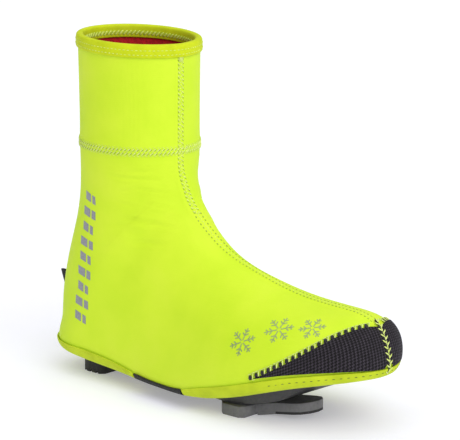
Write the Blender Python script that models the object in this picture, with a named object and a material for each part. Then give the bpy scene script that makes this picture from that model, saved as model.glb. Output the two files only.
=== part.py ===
"""Winter cycling overshoe for the right foot, standing on the cleated sole that it covers.

Metres, +X to the toe, +Z up, -Y to the outer (lateral) side. The origin is the middle of the
heel pad's ground face. Lengths along the shoe are measured from the back of the heel.
"""
import math

import bmesh
import bpy
import numpy as np

# Driving sizes of the overshoe
LENGTH = 0.2865
COLLAR_HEIGHT = 0.247
CUFF_SEAM_HEIGHT = 0.1712
INSTEP_HEIGHT = 0.149
BALL_WIDTH = 0.108
HEEL_WIDTH = 0.077
SHAFT_DEPTH = 0.0906
SHAFT_WIDTH = 0.0806
SHAFT_BACK = 0.024
TOE_SWING = 0.0115
SEAM_TURN = math.radians(9.0)
COLLAR_FLARE = 0.0008
COLLAR_DROP = 0.0030

# Heights of the sole line over the floor
HEM_CLEARANCE = 0.0100
TOE_SPRING = 0.0295
BAND_HEIGHT = 0.0095

# Wall, seams and overlays
WALL = 0.0027
SEAM_RAISE = 0.0008
FRONT_SEAM_WIDTH = 0.0076
CUFF_SEAM_WIDTH = 0.0058
SEAM_STEP = 0.0006
CLEARANCE = 0.0004
SEAT_CLEARANCE = 0.0003
TOE_CAP_THICKNESS = 0.0010
BAND_THICKNESS = 0.0012
BAND_UNDERCUT_SHARE = 0.55
BAND_START_SHARE = 0.10
BAND_TURN_SHARE = 0.45
HEM_TURN = 0.0110
TOE_TOP_SHARE = 0.925
BINDING_THICKNESS = 0.0012
BINDING_HEIGHT = 0.0075
BINDING_ROLL = 0.0016
STRAP_THICKNESS = 0.0013
STRAP_BACK = 0.3525 * LENGTH
STRAP_FRONT = 0.5270 * LENGTH
BAND_GAP = 0.0012
TAB_HEIGHT = 0.0138
TAB_LOW = 0.0515
TAB_PROUD = 0.0165
TAB_THICKNESS = 0.0022

# Sole under the overshoe
OUTSOLE_THICKNESS = 0.0030
INSOLE_THICKNESS = 0.0030
BOSS_CLEARANCE = 0.0015
PAD_CENTRE = 0.0380
PAD_LENGTH = 0.0235
PAD_WIDTH = 0.0410
PAD_ROUND = 0.0090
CLEAT_BACK = 0.5986 * LENGTH
CLEAT_LENGTH = 0.0650
CLEAT_WIDTH = 0.0660
CLEAT_WAIST = 0.0400
CLEAT_WING = 0.0250
CLEAT_FLAT = 0.0260
CLEAT_NOSE_LIFT = 0.0060
CLEAT_NOSE_WIDTH = 0.0260
CLEAT_THICKNESS = 0.0080

# Mesh fineness
COLUMNS = 9
FOOT_STEPS = 2
LEG_STEPS = 2

# Sole line: place along LENGTH, hem height as a share of TOE_SPRING over HEM_CLEARANCE,
# height of the band as a share of BAND_HEIGHT, drop of the sole below the hem in shares of WALL
SOLE_LINE = (
    # place, hem, band, drop
    (0.000, 0.26, 0.80, 0.25),
    (0.077, 0.23, 0.76, 0.25),
    (0.175, 0.13, 1.02, 0.25),
    (0.248, 0.08, 0.95, 0.25),
    (0.318, 0.06, 0.67, 0.00),
    (0.370, 0.05, 0.36, 0.00),
    (0.468, 0.04, 0.30, 0.00),
    (0.513, 0.03, 0.34, 0.00),
    (0.545, 0.03, 0.60, 0.00),
    (0.575, 0.05, 0.85, 1.20),
    (0.614, 0.11, 0.94, 2.00),
    (0.700, 0.31, 1.00, 3.25),
    (0.764, 0.49, 1.00, 3.90),
    (0.805, 0.60, 1.00, 4.00),
    (0.845, 0.70, 0.98, 2.20),
    (0.915, 0.83, 0.92, 0.40),
    (0.967, 0.91, 0.85, 0.25),
    (1.000, 0.96, 0.66, 0.20),
)

# Sections of the foot. Each is a plane across the shoe that leans from the ridge over the band
# up to the seam on top. Places are shares of LENGTH, rise is the share of the way from the ridge
# to INSTEP_HEIGHT, half widths are shares of half the BALL_WIDTH, and full squares the section.
FOOT_ROWS = (
    # ridge, top, rise, outer, inner, full
    (1.0000, 1.0000, 0.000, 0.000, 0.000, 1.00),
    (0.9965, 0.9985, 0.055, 0.150, 0.150, 1.00),
    (0.9830, 0.9920, 0.130, 0.330, 0.330, 0.98),
    (0.9570, 0.9800, 0.212, 0.515, 0.510, 0.98),
    (0.9180, 0.9600, 0.284, 0.675, 0.665, 1.00),
    (0.8650, 0.9180, 0.340, 0.825, 0.800, 1.02),
    (0.7950, 0.8480, 0.380, 0.950, 0.915, 1.04),
    (0.7080, 0.7600, 0.438, 1.000, 0.965, 1.06),
    (0.6200, 0.6760, 0.512, 0.975, 0.910, 1.09),
    (0.5330, 0.5960, 0.592, 0.900, 0.830, 1.10),
    (0.4460, 0.5290, 0.668, 0.810, 0.750, 1.10),
    (0.3550, 0.4840, 0.752, 0.740, 0.700, 1.07),
    (0.2610, 0.4520, 0.826, 0.712, 0.695, 1.04),
    (0.1740, 0.4330, 0.888, 0.709, 0.700, 1.00),
    (0.1010, 0.4220, 0.934, 0.685, 0.685, 0.98),
    (0.0470, 0.4160, 0.966, 0.541, 0.541, 0.97),
    (0.0125, 0.4120, 0.990, 0.300, 0.300, 0.96),
)

# Sections of the ankle. Back and front places are shares of LENGTH, their heights shares of
# CUFF_SEAM_HEIGHT, and half widths shares of half the HEEL_WIDTH.
ANKLE_ROWS = (
    # back, back_height, front, front_height, half, full
    (0.0000, 0.150, 0.4100, 0.873, 1.000, 0.96),
    (0.0035, 0.259, 0.4075, 0.885, 1.005, 0.97),
    (0.0130, 0.348, 0.4055, 0.898, 1.005, 0.98),
    (0.0245, 0.431, 0.4040, 0.909, 1.000, 0.99),
    (0.0420, 0.530, 0.4025, 0.920, 0.995, 1.00),
    (0.0590, 0.613, 0.4015, 0.930, 1.000, 1.00),
    (0.0730, 0.698, 0.4005, 0.939, 1.010, 1.00),
    (0.0815, 0.792, 0.4000, 0.948, 1.025, 1.00),
    (0.0838, 0.885, 0.4000, 0.958, 1.040, 1.00),
)

# Centre line in plan: place along LENGTH and swing inwards as a share of TOE_SWING
CENTRE_LINE = (
    # place, inwards
    (0.000, 0.00),
    (0.400, 0.00),
    (0.450, 0.10),
    (0.520, 0.24),
    (0.620, 0.42),
    (0.720, 0.60),
    (0.850, 0.84),
    (0.950, 1.00),
    (1.000, 1.00),
)

# Turn of the front seam towards the outer side: place of the seam along LENGTH and share of
# SEAM_TURN
SEAM_LINE = (
    # place, turn
    (0.000, 1.00),
    (0.420, 1.00),
    (0.460, 0.72),
    (0.530, 0.25),
    (0.600, 0.00),
    (1.000, 0.00),
)

# Upper edge of the toe cap: place of the section along FOOT_ROWS and how far the cap climbs
# from the ridge to the seam on top
TOE_CAP_EDGE = (
    # section, climb
    (0.0, 1.00),
    (3.7, 1.00),
    (4.0, 0.70),
    (4.5, 0.46),
    (5.0, 0.28),
    (5.5, 0.16),
    (6.0, 0.07),
    (6.6, 0.00),
)

COLOURS = {
    "lime": (0.62, 0.90, 0.03), "olive_lime": (0.45, 0.62, 0.03), "roll_yellow": (0.60, 0.55, 0.03),
    "charcoal": (0.028, 0.022, 0.022), "sole_grey": (0.04, 0.04, 0.042), "cleat_grey": (0.09, 0.09, 0.09),
    "rubber_black": (0.012, 0.012, 0.012), "lining_red": (0.45, 0.004, 0.01),
}


def smooth_columns(rows, places):
    """Reads the rows at fractional places through a Catmull-Rom curve."""
    table = np.array(rows, float)
    last = len(table) - 1
    padded = np.vstack([2 * table[0] - table[1], table, 2 * table[-1] - table[-2]])
    read = []
    for place in places:
        k = min(int(place), last - 1)
        t = place - k
        a, b, c, d = padded[k:k + 4]
        read.append(0.5 * (2 * b + (c - a) * t + (2 * a - 5 * b + 4 * c - d) * t ** 2
                           + (3 * b - a - 3 * c + d) * t ** 3))
    return np.array(read)


def column(rows, number, at):
    """Reads one column of a table whose first column is a place from 0 to 1."""
    table = np.array(rows, float)
    return float(np.interp(at, table[:, 0], table[:, number]))


def soft_column(rows, number, at, reach=0.02):
    """The same, rounded where the table's straight stretches meet."""
    steps = (-1.0, -0.5, 0.0, 0.5, 1.0)
    return sum(column(rows, number, at + step * reach) for step in steps) / len(steps)


def hem_height(place):
    return HEM_CLEARANCE + TOE_SPRING * soft_column(SOLE_LINE, 1, place)


def band_height(place):
    return BAND_HEIGHT * soft_column(SOLE_LINE, 2, place)


def boss_drop(place):
    return WALL * soft_column(SOLE_LINE, 3, place)


def ridge_height(place):
    return hem_height(place) + band_height(place)


def centre(place):
    return TOE_SWING * soft_column(CENTRE_LINE, 1, place)


def to_part(x, y, z):
    """From the back of the heel to the part's frame."""
    return np.array((x - PAD_CENTRE, y, z))


def section(back, front, start, half, full, side):
    """Points of one half section from its low or back end to the seam on top or in front.

    back and front are (x, z); start is the half width at the low end, half the widest one.
    Two close columns make the foot of the raised seam."""
    begin = math.asin(min(1.0, start / half)) if half > 0 else 0.0
    turn = SEAM_TURN * soft_column(SEAM_LINE, 1, front[0] / LENGTH)
    sweep = math.pi + side * turn - begin
    reach = max(half, 2 * FRONT_SEAM_WIDTH)
    edge = FRONT_SEAM_WIDTH / 2 / reach / sweep
    step = SEAM_STEP / reach / sweep
    shares = [(1 - edge - step) * k / COLUMNS for k in range(COLUMNS + 1)] + [1 - edge, 1.0]
    points = []
    for share in shares:
        angle = begin + sweep * share
        along = (math.cos(begin) - math.cos(angle)) / (math.cos(begin) + 1.0)
        x = back[0] + (front[0] - back[0]) * along
        z = back[1] + (front[1] - back[1]) * along
        wave = math.sin(angle)
        width = math.copysign(half * abs(wave) ** full, wave)
        points.append(to_part(x, centre(x / LENGTH) + side * width, z))
    return points


def body_sections():
    """All sections from the toe tip to the collar: outer half, inner half, whether the whole
    section is raised, and whether the front seam is raised on it."""
    rows = []
    half_ball = BALL_WIDTH / 2
    half_heel = HEEL_WIDTH / 2
    last = len(FOOT_ROWS) - 1
    places = [k / FOOT_STEPS for k in range(last * FOOT_STEPS + 1)]
    for ridge, top, rise, outer, inner, full in smooth_columns(FOOT_ROWS, places):
        low = (ridge * LENGTH, ridge_height(ridge))
        high = (top * LENGTH, low[1] + rise * (INSTEP_HEIGHT - low[1]))
        halves = []
        for side, share in ((-1, outer), (1, inner)):
            start = max(0.0, share) * half_ball
            widest = max(start, half_heel if ridge < 0.3 else 0.0)
            halves.append(section(low, high, start, widest, full, side))
        rows.append((halves[0], halves[1], False, ridge < TOE_TOP_SHARE))
    last = len(ANKLE_ROWS) - 1
    places = [k / LEG_STEPS for k in range(last * LEG_STEPS + 1)]
    for number, row in enumerate(smooth_columns(ANKLE_ROWS, places)):
        back, back_height, front, front_height, half, full = row
        low = (max(0.0, back) * LENGTH, back_height * CUFF_SEAM_HEIGHT)
        if number == 0:
            low = (0.0, ridge_height(0.0))
        high = (front * LENGTH, front_height * CUFF_SEAM_HEIGHT)
        rows.append(leg_row(low, high, half * half_heel, full, False, True))
    for height, flare, raised, seamed in shaft_heights():
        drop = COLLAR_DROP * max(0.0, (height - CUFF_SEAM_HEIGHT) / (COLLAR_HEIGHT - CUFF_SEAM_HEIGHT))
        low = (SHAFT_BACK - flare, height)
        high = (SHAFT_BACK + SHAFT_DEPTH + flare, height - drop)
        rows.append(leg_row(low, high, SHAFT_WIDTH / 2 + flare, 1.0, raised, seamed))
    return rows


def leg_row(low, high, half, full, raised, seamed):
    return (section(low, high, 0.0, half, full, -1),
            section(low, high, 0.0, half, full, 1), raised, seamed)


def shaft_heights():
    """Level rings over the ankle: height, flare, whether the cuff seam raises the ring, and
    whether the front seam stands proud there, which it does up to the binding."""
    low = CUFF_SEAM_HEIGHT - CUFF_SEAM_WIDTH / 2
    high = CUFF_SEAM_HEIGHT + CUFF_SEAM_WIDTH / 2
    bound = COLLAR_HEIGHT - BINDING_HEIGHT
    return [(low - SEAM_STEP, 0.0, False, True), (low, 0.0, True, True), (high, 0.0, True, True),
            (high + SEAM_STEP, 0.0, False, True),
            ((high + bound) / 2, COLLAR_FLARE / 3, False, True),
            (bound - 2 * SEAM_STEP, COLLAR_FLARE, False, True),
            (bound - SEAM_STEP, COLLAR_FLARE, False, False),
            (COLLAR_HEIGHT, COLLAR_FLARE, False, False)]


def seam_columns():
    return (COLUMNS + 1, COLUMNS + 2)


def ridge_loop(rows):
    """The closed line of the ridge over the band: tip, outer side, heel, inner side."""
    foot = (len(FOOT_ROWS) - 1) * FOOT_STEPS + 1
    outer = [rows[k][0][0] for k in range(1, foot)]
    inner = [rows[k][1][0] for k in range(1, foot)]
    return [rows[0][0][0]] + outer + [rows[foot][0][0]] + inner[::-1]


def inward(loop):
    """Unit directions in plan that point into the closed line."""
    count = len(loop)
    result = []
    for k in range(count):
        along = loop[(k + 1) % count] - loop[k - 1]
        normal = np.array((along[1], -along[0], 0.0))
        result.append(normal / np.linalg.norm(normal))
    middle = sum(loop) / count
    if np.dot(result[count // 4], middle - loop[count // 4]) < 0:
        result = [-normal for normal in result]
    return result


def level(loop, inset, lift):
    """The ridge line moved inwards by inset and set at lift over the hem, each a number or a
    function of the place along the shoe."""
    points = []
    for point, normal in zip(loop, inward(loop)):
        place = min(1.0, max(0.0, (point[0] + PAD_CENTRE) / LENGTH))
        moved = point + normal * (inset(place) if callable(inset) else inset)
        moved[2] = hem_height(place) + (lift(place) if callable(lift) else lift)
        points.append(moved)
    return points


def undercut(place):
    return BAND_UNDERCUT_SHARE * band_height(place)


def band_levels(loop, turn):
    """Rows of the lower edge of the upper: ridge, middle and foot of the band, turned hem."""
    levels = [loop,
              level(loop, lambda s: 0.38 * undercut(s), lambda s: 0.42 * band_height(s)),
              level(loop, undercut, 0.0)]
    if turn > 0:
        levels.append(level(loop, lambda s: undercut(s) + turn, 0.0))
    return levels


def add_grid(mesh, grid, wrap=False):
    """Adds the faces of a grid of points and returns its vertices."""
    made = [[mesh.verts.new(point) for point in row] for row in grid]
    for k in range(len(made) - 1):
        columns = len(made[k])
        for c in range(columns if wrap else columns - 1):
            d = (c + 1) % columns
            mesh.faces.new((made[k][c], made[k][d], made[k + 1][d], made[k + 1][c]))
    return made


def merged(mesh):
    """Joins coincident points and drops the faces that they close up."""
    bmesh.ops.remove_doubles(mesh, verts=mesh.verts, dist=0.00002)
    bmesh.ops.dissolve_degenerate(mesh, edges=mesh.edges, dist=0.00001)
    bmesh.ops.recalc_face_normals(mesh, faces=mesh.faces)
    mesh.normal_update()


def thicken(mesh, near, far, outward, raised=()):
    """Turns an open surface into a closed wall from near to far along its outward normals."""
    mesh.normal_update()
    test = max(mesh.faces, key=lambda face: face.calc_area())
    if test.normal.dot(outward(test.calc_center_median())) < 0:
        bmesh.ops.reverse_faces(mesh, faces=mesh.faces)
        mesh.normal_update()
    skin = list(mesh.faces)
    rim = [edge for edge in mesh.edges if edge.is_boundary]
    shift = {v: v.normal * min(1.6, v.calc_shell_factor()) for v in mesh.verts}
    under = {v: mesh.verts.new(v.co + shift[v] * near) for v in list(shift)}
    for face in skin:
        mesh.faces.new([under[v] for v in reversed(face.verts)])
    for edge in rim:
        a, b = edge.verts
        mesh.faces.new((a, b, under[b], under[a]))
    for v in shift:
        v.co += shift[v] * (far + (SEAM_RAISE if v in raised else 0.0))
    bmesh.ops.triangulate(mesh, faces=mesh.faces, quad_method="SHORT_EDGE")
    bmesh.ops.recalc_face_normals(mesh, faces=mesh.faces)


def material(name, colour, roughness, metallic=0.0):
    made = bpy.data.materials.new(name)
    made.use_nodes = True
    shader = made.node_tree.nodes["Principled BSDF"]
    shader.inputs["Base Color"].default_value = (*colour, 1.0)
    shader.inputs["Roughness"].default_value = roughness
    shader.inputs["Metallic"].default_value = metallic
    return made


def finish(name, mesh, colour, roughness=0.7, metallic=0.0, angle=40):
    """Makes the object of a mesh, in the overshoe's collection."""
    data = bpy.data.meshes.new(name)
    mesh.to_mesh(data)
    mesh.free()
    data.materials.append(material(name, COLOURS[colour], roughness, metallic))
    data.shade_smooth()
    data.set_sharp_from_angle(angle=math.radians(angle))
    obj = bpy.data.objects.new(name, data)
    bpy.data.collections["overshoe"].objects.link(obj)
    return obj


def away_from_core(point):
    """Outward direction for a wall of the upper: away from a line inside the foot and leg."""
    x = point.x + PAD_CENTRE
    core_x = SHAFT_BACK + SHAFT_DEPTH / 2
    if point.z < 0.7 * INSTEP_HEIGHT and x > core_x:
        core = (point.x, centre(x / LENGTH), 0.5 * (point.z + hem_height(x / LENGTH) + WALL))
    else:
        core = (core_x - PAD_CENTRE, 0.0, point.z)
    return type(point)((point.x - core[0], point.y - core[1], point.z - core[2]))


def downwards(point):
    return type(point)((0.0, 0.0, -1.0))


def build_upper(rows, loop):
    mesh = bmesh.new()
    made = add_grid(mesh, [row[0] + row[1][::-1][1:] for row in rows])
    columns = seam_columns()
    centre_columns = (columns[0], columns[1], columns[1] + 1)
    raised_points = []
    for k, (row, section_row) in enumerate(zip(made, rows)):
        for c, vertex in enumerate(row):
            if section_row[2] or (c in centre_columns and section_row[3]):
                raised_points.append(vertex.co.copy())
    add_grid(mesh, band_levels(loop, HEM_TURN), wrap=True)
    merged(mesh)
    keys = {tuple(round(value, 6) for value in co) for co in raised_points}
    raised = {v for v in mesh.verts if tuple(round(value, 6) for value in v.co) in keys}
    thicken(mesh, -WALL, 0.0, away_from_core, raised)
    return finish("upper", mesh, "lime")


def build_binding(rows):
    """A folded strip over the top edge: outer leaf, rounded roll and inner leaf."""
    top = np.array(rows[-1][0] + rows[-1][1][::-1][1:-1])
    middle = top.mean(axis=0)
    ring = []
    outer_near = CLEARANCE
    inner_near = -WALL - CLEARANCE
    outer_far = outer_near + BINDING_THICKNESS
    inner_far = inner_near - BINDING_THICKNESS
    low = -BINDING_HEIGHT
    roll = CLEARANCE + BINDING_ROLL
    profile = [(outer_near, low), (outer_far, low), (outer_far, 0.0)]
    half = (outer_far - inner_far) / 2
    mid = (outer_far + inner_far) / 2
    for angle in (45, 90, 135):
        turn = math.radians(angle)
        profile.append((mid + half * math.cos(turn), roll * math.sin(turn)))
    profile += [(inner_far, 0.0), (inner_far, low), (inner_near, low),
                (inner_near, CLEARANCE), (outer_near, CLEARANCE)]
    mesh = bmesh.new()
    stations = []
    count = len(top)
    for k in range(count):
        along = top[(k + 1) % count] - top[k - 1]
        normal = np.array((along[1], -along[0], 0.0))
        normal /= np.linalg.norm(normal)
        if np.dot(normal, top[k] - middle) < 0:
            normal = -normal
        stations.append([mesh.verts.new((*(top[k] + normal * offset)[:2], top[k][2] + height))
                         for offset, height in profile])
    for k in range(count):
        here, there = stations[k], stations[(k + 1) % count]
        for c in range(len(profile)):
            d = (c + 1) % len(profile)
            mesh.faces.new((here[c], here[d], there[d], there[c]))
    bmesh.ops.triangulate(mesh, faces=mesh.faces)
    bmesh.ops.recalc_face_normals(mesh, faces=mesh.faces)
    return finish("collar_binding", mesh, "roll_yellow")


def point_on(row_half, place):
    """A point of a half section at a fractional column."""
    k = min(int(place), len(row_half) - 2)
    return row_half[k] + (row_half[k + 1] - row_half[k]) * (place - k)


def build_toe_cap(rows, side, name):
    """Half of the toe cap, laid over the upper from the ridge to its slanting upper edge."""
    mesh = bmesh.new()
    edge = np.array(TOE_CAP_EDGE)
    last = int(edge[-1, 0] * FOOT_STEPS)
    columns = len(rows[0][0]) - 1
    grid = []
    for k in range(1, last + 1):
        climb = float(np.interp(k / FOOT_STEPS, edge[:, 0], edge[:, 1])) * columns
        start = 0.25
        stop = min(max(climb, start), columns - 0.12)
        half = rows[k][0 if side < 0 else 1]
        grid.append([point_on(half, min(max(c, start), stop)) for c in range(columns + 1)])
    add_grid(mesh, grid)
    merged(mesh)
    loose = [v for v in mesh.verts if not v.link_faces]
    bmesh.ops.delete(mesh, geom=loose, context="VERTS")
    thicken(mesh, CLEARANCE + SEAM_RAISE, CLEARANCE + SEAM_RAISE + TOE_CAP_THICKNESS, away_from_core)
    return finish(name, mesh, "charcoal")


def at_place(line, place):
    """A point of a closed line at a fractional number."""
    k = int(math.floor(place))
    a, b = line[k % len(line)], line[(k + 1) % len(line)]
    return a + (b - a) * (place - k)


def crossing(loop, x, outer):
    """The fractional number at which one side of the ridge line passes a place along the shoe."""
    half = len(loop) // 2
    numbers = range(half) if outer else range(len(loop) - 1, half - 1, -1)
    for k in numbers:
        j = k + 1 if outer else k
        here, there = loop[j - 1][0] + PAD_CENTRE, loop[j % len(loop)][0] + PAD_CENTRE
        if min(here, there) <= x <= max(here, there):
            return j - 1 + (x - here) / (there - here)
    raise ValueError("the ridge line does not reach this place")


def stretch(start, stop):
    """The numbers from start to stop with both ends exact."""
    whole = [k for k in range(math.ceil(start), math.floor(stop) + 1)
             if start + 0.08 < k < stop - 0.08]
    return [start] + whole + [stop]


def covered_levels(loop, turn):
    """Rows of the lower edge that an edge band or the strap covers, just under the ridge down."""
    levels = band_levels(loop, turn)
    return [[a + (b - a) * BAND_START_SHARE for a, b in zip(levels[0], levels[1])]] + levels[1:]


def build_band(loop, name, chosen):
    """Edge band over the turned hem, on a stretch of the ridge line."""
    levels = covered_levels(loop, HEM_TURN * BAND_TURN_SHARE)
    mesh = bmesh.new()
    add_grid(mesh, [[at_place(row, k) for k in chosen] for row in levels])
    merged(mesh)
    thicken(mesh, CLEARANCE, CLEARANCE + BAND_THICKNESS, away_below)
    return finish(name, mesh, "olive_lime")


def away_below(point):
    x = (point.x + PAD_CENTRE) / LENGTH
    middle = type(point)((0.5 * LENGTH - PAD_CENTRE, centre(x), hem_height(x) + 2 * BAND_HEIGHT))
    return point - middle


def band_stretches(loop):
    """Numbers along the ridge line for the front band, round the toe, and the rear band."""
    count = len(loop)
    front = stretch(crossing(loop, STRAP_FRONT + BAND_GAP, False) - count,
                    crossing(loop, STRAP_FRONT + BAND_GAP, True))
    rear = stretch(crossing(loop, STRAP_BACK - BAND_GAP, True),
                   crossing(loop, STRAP_BACK - BAND_GAP, False))
    return front, rear


def build_strap(loop):
    """Strap across the underside at the arch, its ends turned up over the band's height."""
    levels = covered_levels(loop, HEM_TURN)
    outer = stretch(crossing(loop, STRAP_FRONT, True), crossing(loop, STRAP_BACK, True))
    inner = [len(loop) - k for k in outer]
    mesh = bmesh.new()
    add_grid(mesh, [[at_place(row, k) for row in levels] + [at_place(row, j) for row in levels[::-1]]
                    for k, j in zip(outer, inner)])
    merged(mesh)
    thicken(mesh, CLEARANCE, CLEARANCE + STRAP_THICKNESS, downwards)
    return finish("arch_strap", mesh, "charcoal")


def ladder_solid(levels):
    """Closed body of stacked closed lines, its two ends closed by rungs across the shoe."""
    mesh = bmesh.new()
    made = add_grid(mesh, levels, wrap=True)
    count = len(made[0])
    for row in (made[0], made[-1]):
        for k in range(count // 2):
            corners = [row[k], row[k + 1], row[(count - k - 1) % count], row[(count - k) % count]]
            corners = list(dict.fromkeys(corners))
            if len(corners) > 2:
                mesh.faces.new(corners)
    bmesh.ops.triangulate(mesh, faces=mesh.faces)
    bmesh.ops.recalc_face_normals(mesh, faces=mesh.faces)
    return mesh


def inside_inset(place):
    return undercut(place) + WALL + CLEARANCE * 2


def boss_inset(place):
    return undercut(place) + HEM_TURN + BOSS_CLEARANCE


def build_outsole(loop):
    low = WALL + CLEARANCE
    levels = [level(loop, boss_inset, lambda s: -boss_drop(s)),
              level(loop, boss_inset, low),
              level(loop, inside_inset, low),
              level(loop, inside_inset, low + OUTSOLE_THICKNESS)]
    return finish("outsole", ladder_solid(levels), "sole_grey", 0.5)


def build_insole(loop):
    low = WALL + OUTSOLE_THICKNESS + 2 * CLEARANCE
    levels = [level(loop, lambda s: inside_inset(s) + CLEARANCE, low),
              level(loop, lambda s: inside_inset(s) + CLEARANCE, low + INSOLE_THICKNESS)]
    return finish("insole", ladder_solid(levels), "lining_red", 0.9)


def plate(name, outline, bottom, top, colour, roughness):
    """A block with an outline in plan between two heights that depend on the place in X."""
    mesh = bmesh.new()
    low = [mesh.verts.new((x - PAD_CENTRE, y, bottom(x))) for x, y in outline]
    high = [mesh.verts.new((x - PAD_CENTRE, y, top(x))) for x, y in outline]
    count = len(outline)
    for k in range(count):
        j = (k + 1) % count
        mesh.faces.new((low[k], low[j], high[j], high[k]))
    for k in range(count // 2):
        for row in (low, high):
            corners = list(dict.fromkeys([row[k], row[k + 1], row[(count - k - 1) % count],
                                          row[(count - k) % count]]))
            if len(corners) > 2:
                mesh.faces.new(corners)
    bmesh.ops.recalc_face_normals(mesh, faces=mesh.faces)
    return finish(name, mesh, colour, roughness)


def mirrored_outline(half):
    """A closed outline from its half on the outer side, first and last point on the middle."""
    return half + [(x, -y) for x, y in half[-2:0:-1]]


def boss_underside(loop):
    """The height that is free under the sole's boss, as a function of the place in X."""
    line = level(loop, boss_inset, lambda s: -boss_drop(s))
    count = len(line)
    outer = np.array([line[k] for k in range(count // 2, -1, -1)])
    inner = np.array([line[k % count] for k in range(count // 2, count + 1)])

    def free_height(x):
        at = x - PAD_CENTRE
        heights = [np.interp(at, side[:, 0], side[:, 2]) for side in (outer, inner)]
        return float(min(heights)) - SEAT_CLEARANCE
    return free_height


def build_heel_pad(underside):
    back = PAD_CENTRE - PAD_LENGTH / 2
    front = PAD_CENTRE + PAD_LENGTH / 2
    half = PAD_WIDTH / 2
    outline = [(back, 0.0)]
    for angle in (0, 30, 60, 90):
        turn = math.radians(angle)
        outline.append((back + PAD_ROUND * (1 - math.sin(turn)) if angle else back + PAD_ROUND,
                        -(half - PAD_ROUND + PAD_ROUND * math.cos(turn))))
    outline = [(back, 0.0)] + sorted(outline[1:], key=lambda p: (p[0], -p[1]))
    outline += [(PAD_CENTRE, -half), (front - PAD_ROUND / 3, -half), (front, -(half - PAD_ROUND / 3)),
                (front, 0.0)]
    return plate("heel_pad", mirrored_outline(outline), lambda x: 0.0, underside, "rubber_black", 0.8)


def cleat_bottom(x):
    rise = (x - CLEAT_BACK - CLEAT_FLAT) / (CLEAT_LENGTH - CLEAT_FLAT)
    return CLEAT_NOSE_LIFT * max(0.0, rise)


def build_cleat(underside):
    """Three-bolt road cleat: a wide rear wing, a waist and a round nose."""
    half = CLEAT_WIDTH / 2
    wing = CLEAT_BACK + CLEAT_WING
    front = CLEAT_BACK + CLEAT_LENGTH
    nose = CLEAT_NOSE_WIDTH / 2
    flat_end = CLEAT_BACK + CLEAT_FLAT
    outline = [(CLEAT_BACK, 0.0), (CLEAT_BACK, -half * 0.55), (CLEAT_BACK + 0.003, -half * 0.9),
               (CLEAT_BACK + 0.007, -half), (wing - 0.004, -half), (wing, -half * 0.9),
               (flat_end, -CLEAT_WAIST / 2), (flat_end + 0.012, -nose * 1.05)]
    for angle in (0, 30, 60):
        turn = math.radians(angle)
        outline.append((front - nose + nose * math.sin(turn), -nose * math.cos(turn)))
    outline.append((front, 0.0))
    return plate("cleat", mirrored_outline(outline), cleat_bottom,
                 lambda x: min(underside(x), cleat_bottom(x) + CLEAT_THICKNESS), "cleat_grey", 0.55)


def build_tab(rows):
    """Small folded webbing tab that stands out of the back seam."""
    low = TAB_LOW
    high = TAB_LOW + TAB_HEIGHT
    line = [row[0][0] for row in rows if row[0][0][2] > low - 0.03 and abs(row[0][0][1]) < 0.03]
    heights = [point[2] for point in line if point[0] < 0]
    backs = [point[0] for point in line if point[0] < 0]
    order = np.argsort(heights)
    heights = np.array(heights)[order]
    backs = np.array(backs)[order]
    mesh = bmesh.new()
    corners = []
    for share in (0.0, 0.5, 1.0):
        z = low + (high - low) * share
        x = float(np.interp(z, heights, backs)) - CLEARANCE * 1.5
        proud = TAB_PROUD * (0.5 + 0.5 * share)
        corners.append(((x, z), (x - proud, z)))
    for side in (-1, 1):
        y = side * TAB_THICKNESS / 2
        for near, far in corners:
            mesh.verts.new((near[0], y, near[1]))
            mesh.verts.new((far[0], y, far[1]))
    mesh.verts.ensure_lookup_table()
    bmesh.ops.convex_hull(mesh, input=mesh.verts)
    loose = [v for v in mesh.verts if not v.link_faces]
    bmesh.ops.delete(mesh, geom=loose, context="VERTS")
    bmesh.ops.recalc_face_normals(mesh, faces=mesh.faces)
    return finish("heel_tab", mesh, "rubber_black", 0.8)


def start_scene():
    for old in list(bpy.data.objects):
        bpy.data.objects.remove(old, do_unlink=True)
    group = bpy.data.collections.new("overshoe")
    bpy.context.scene.collection.children.link(group)


def main():
    start_scene()
    rows = body_sections()
    loop = ridge_loop(rows)
    build_upper(rows, loop)
    build_binding(rows)
    build_toe_cap(rows, -1, "toe_cap_outer")
    build_toe_cap(rows, 1, "toe_cap_inner")
    front, rear = band_stretches(loop)
    build_band(loop, "hem_band_front", front)
    build_band(loop, "hem_band_rear", rear)
    build_strap(loop)
    build_tab(rows)
    build_outsole(loop)
    build_insole(loop)
    underside = boss_underside(loop)
    build_heel_pad(underside)
    build_cleat(underside)


main()
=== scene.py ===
# %% [markdown]
# # The looks of a winter cycling overshoe
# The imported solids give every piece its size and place. This lesson dresses them: it makes a
# finer skin for each soft piece, sews the seams, prints the marks and mixes the finishes.
# The frame is loaded first, because every later cell measures from it.

# %% Load the frame
import math

import bmesh
import bpy
import numpy as np
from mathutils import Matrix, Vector
from mathutils.bvhtree import BVHTree


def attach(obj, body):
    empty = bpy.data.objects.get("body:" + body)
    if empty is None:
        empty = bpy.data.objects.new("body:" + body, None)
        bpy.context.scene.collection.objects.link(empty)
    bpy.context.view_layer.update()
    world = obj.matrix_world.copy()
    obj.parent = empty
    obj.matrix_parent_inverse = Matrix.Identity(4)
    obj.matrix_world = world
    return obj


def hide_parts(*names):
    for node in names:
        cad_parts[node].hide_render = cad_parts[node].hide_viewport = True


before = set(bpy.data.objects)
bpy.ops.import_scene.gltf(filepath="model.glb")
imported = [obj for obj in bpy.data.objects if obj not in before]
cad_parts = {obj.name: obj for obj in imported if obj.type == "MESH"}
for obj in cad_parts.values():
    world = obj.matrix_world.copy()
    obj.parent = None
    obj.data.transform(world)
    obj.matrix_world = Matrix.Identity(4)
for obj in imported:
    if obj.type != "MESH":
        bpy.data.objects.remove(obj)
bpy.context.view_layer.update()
MM = 0.001
print("solids:", ", ".join(sorted(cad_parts)))


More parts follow.
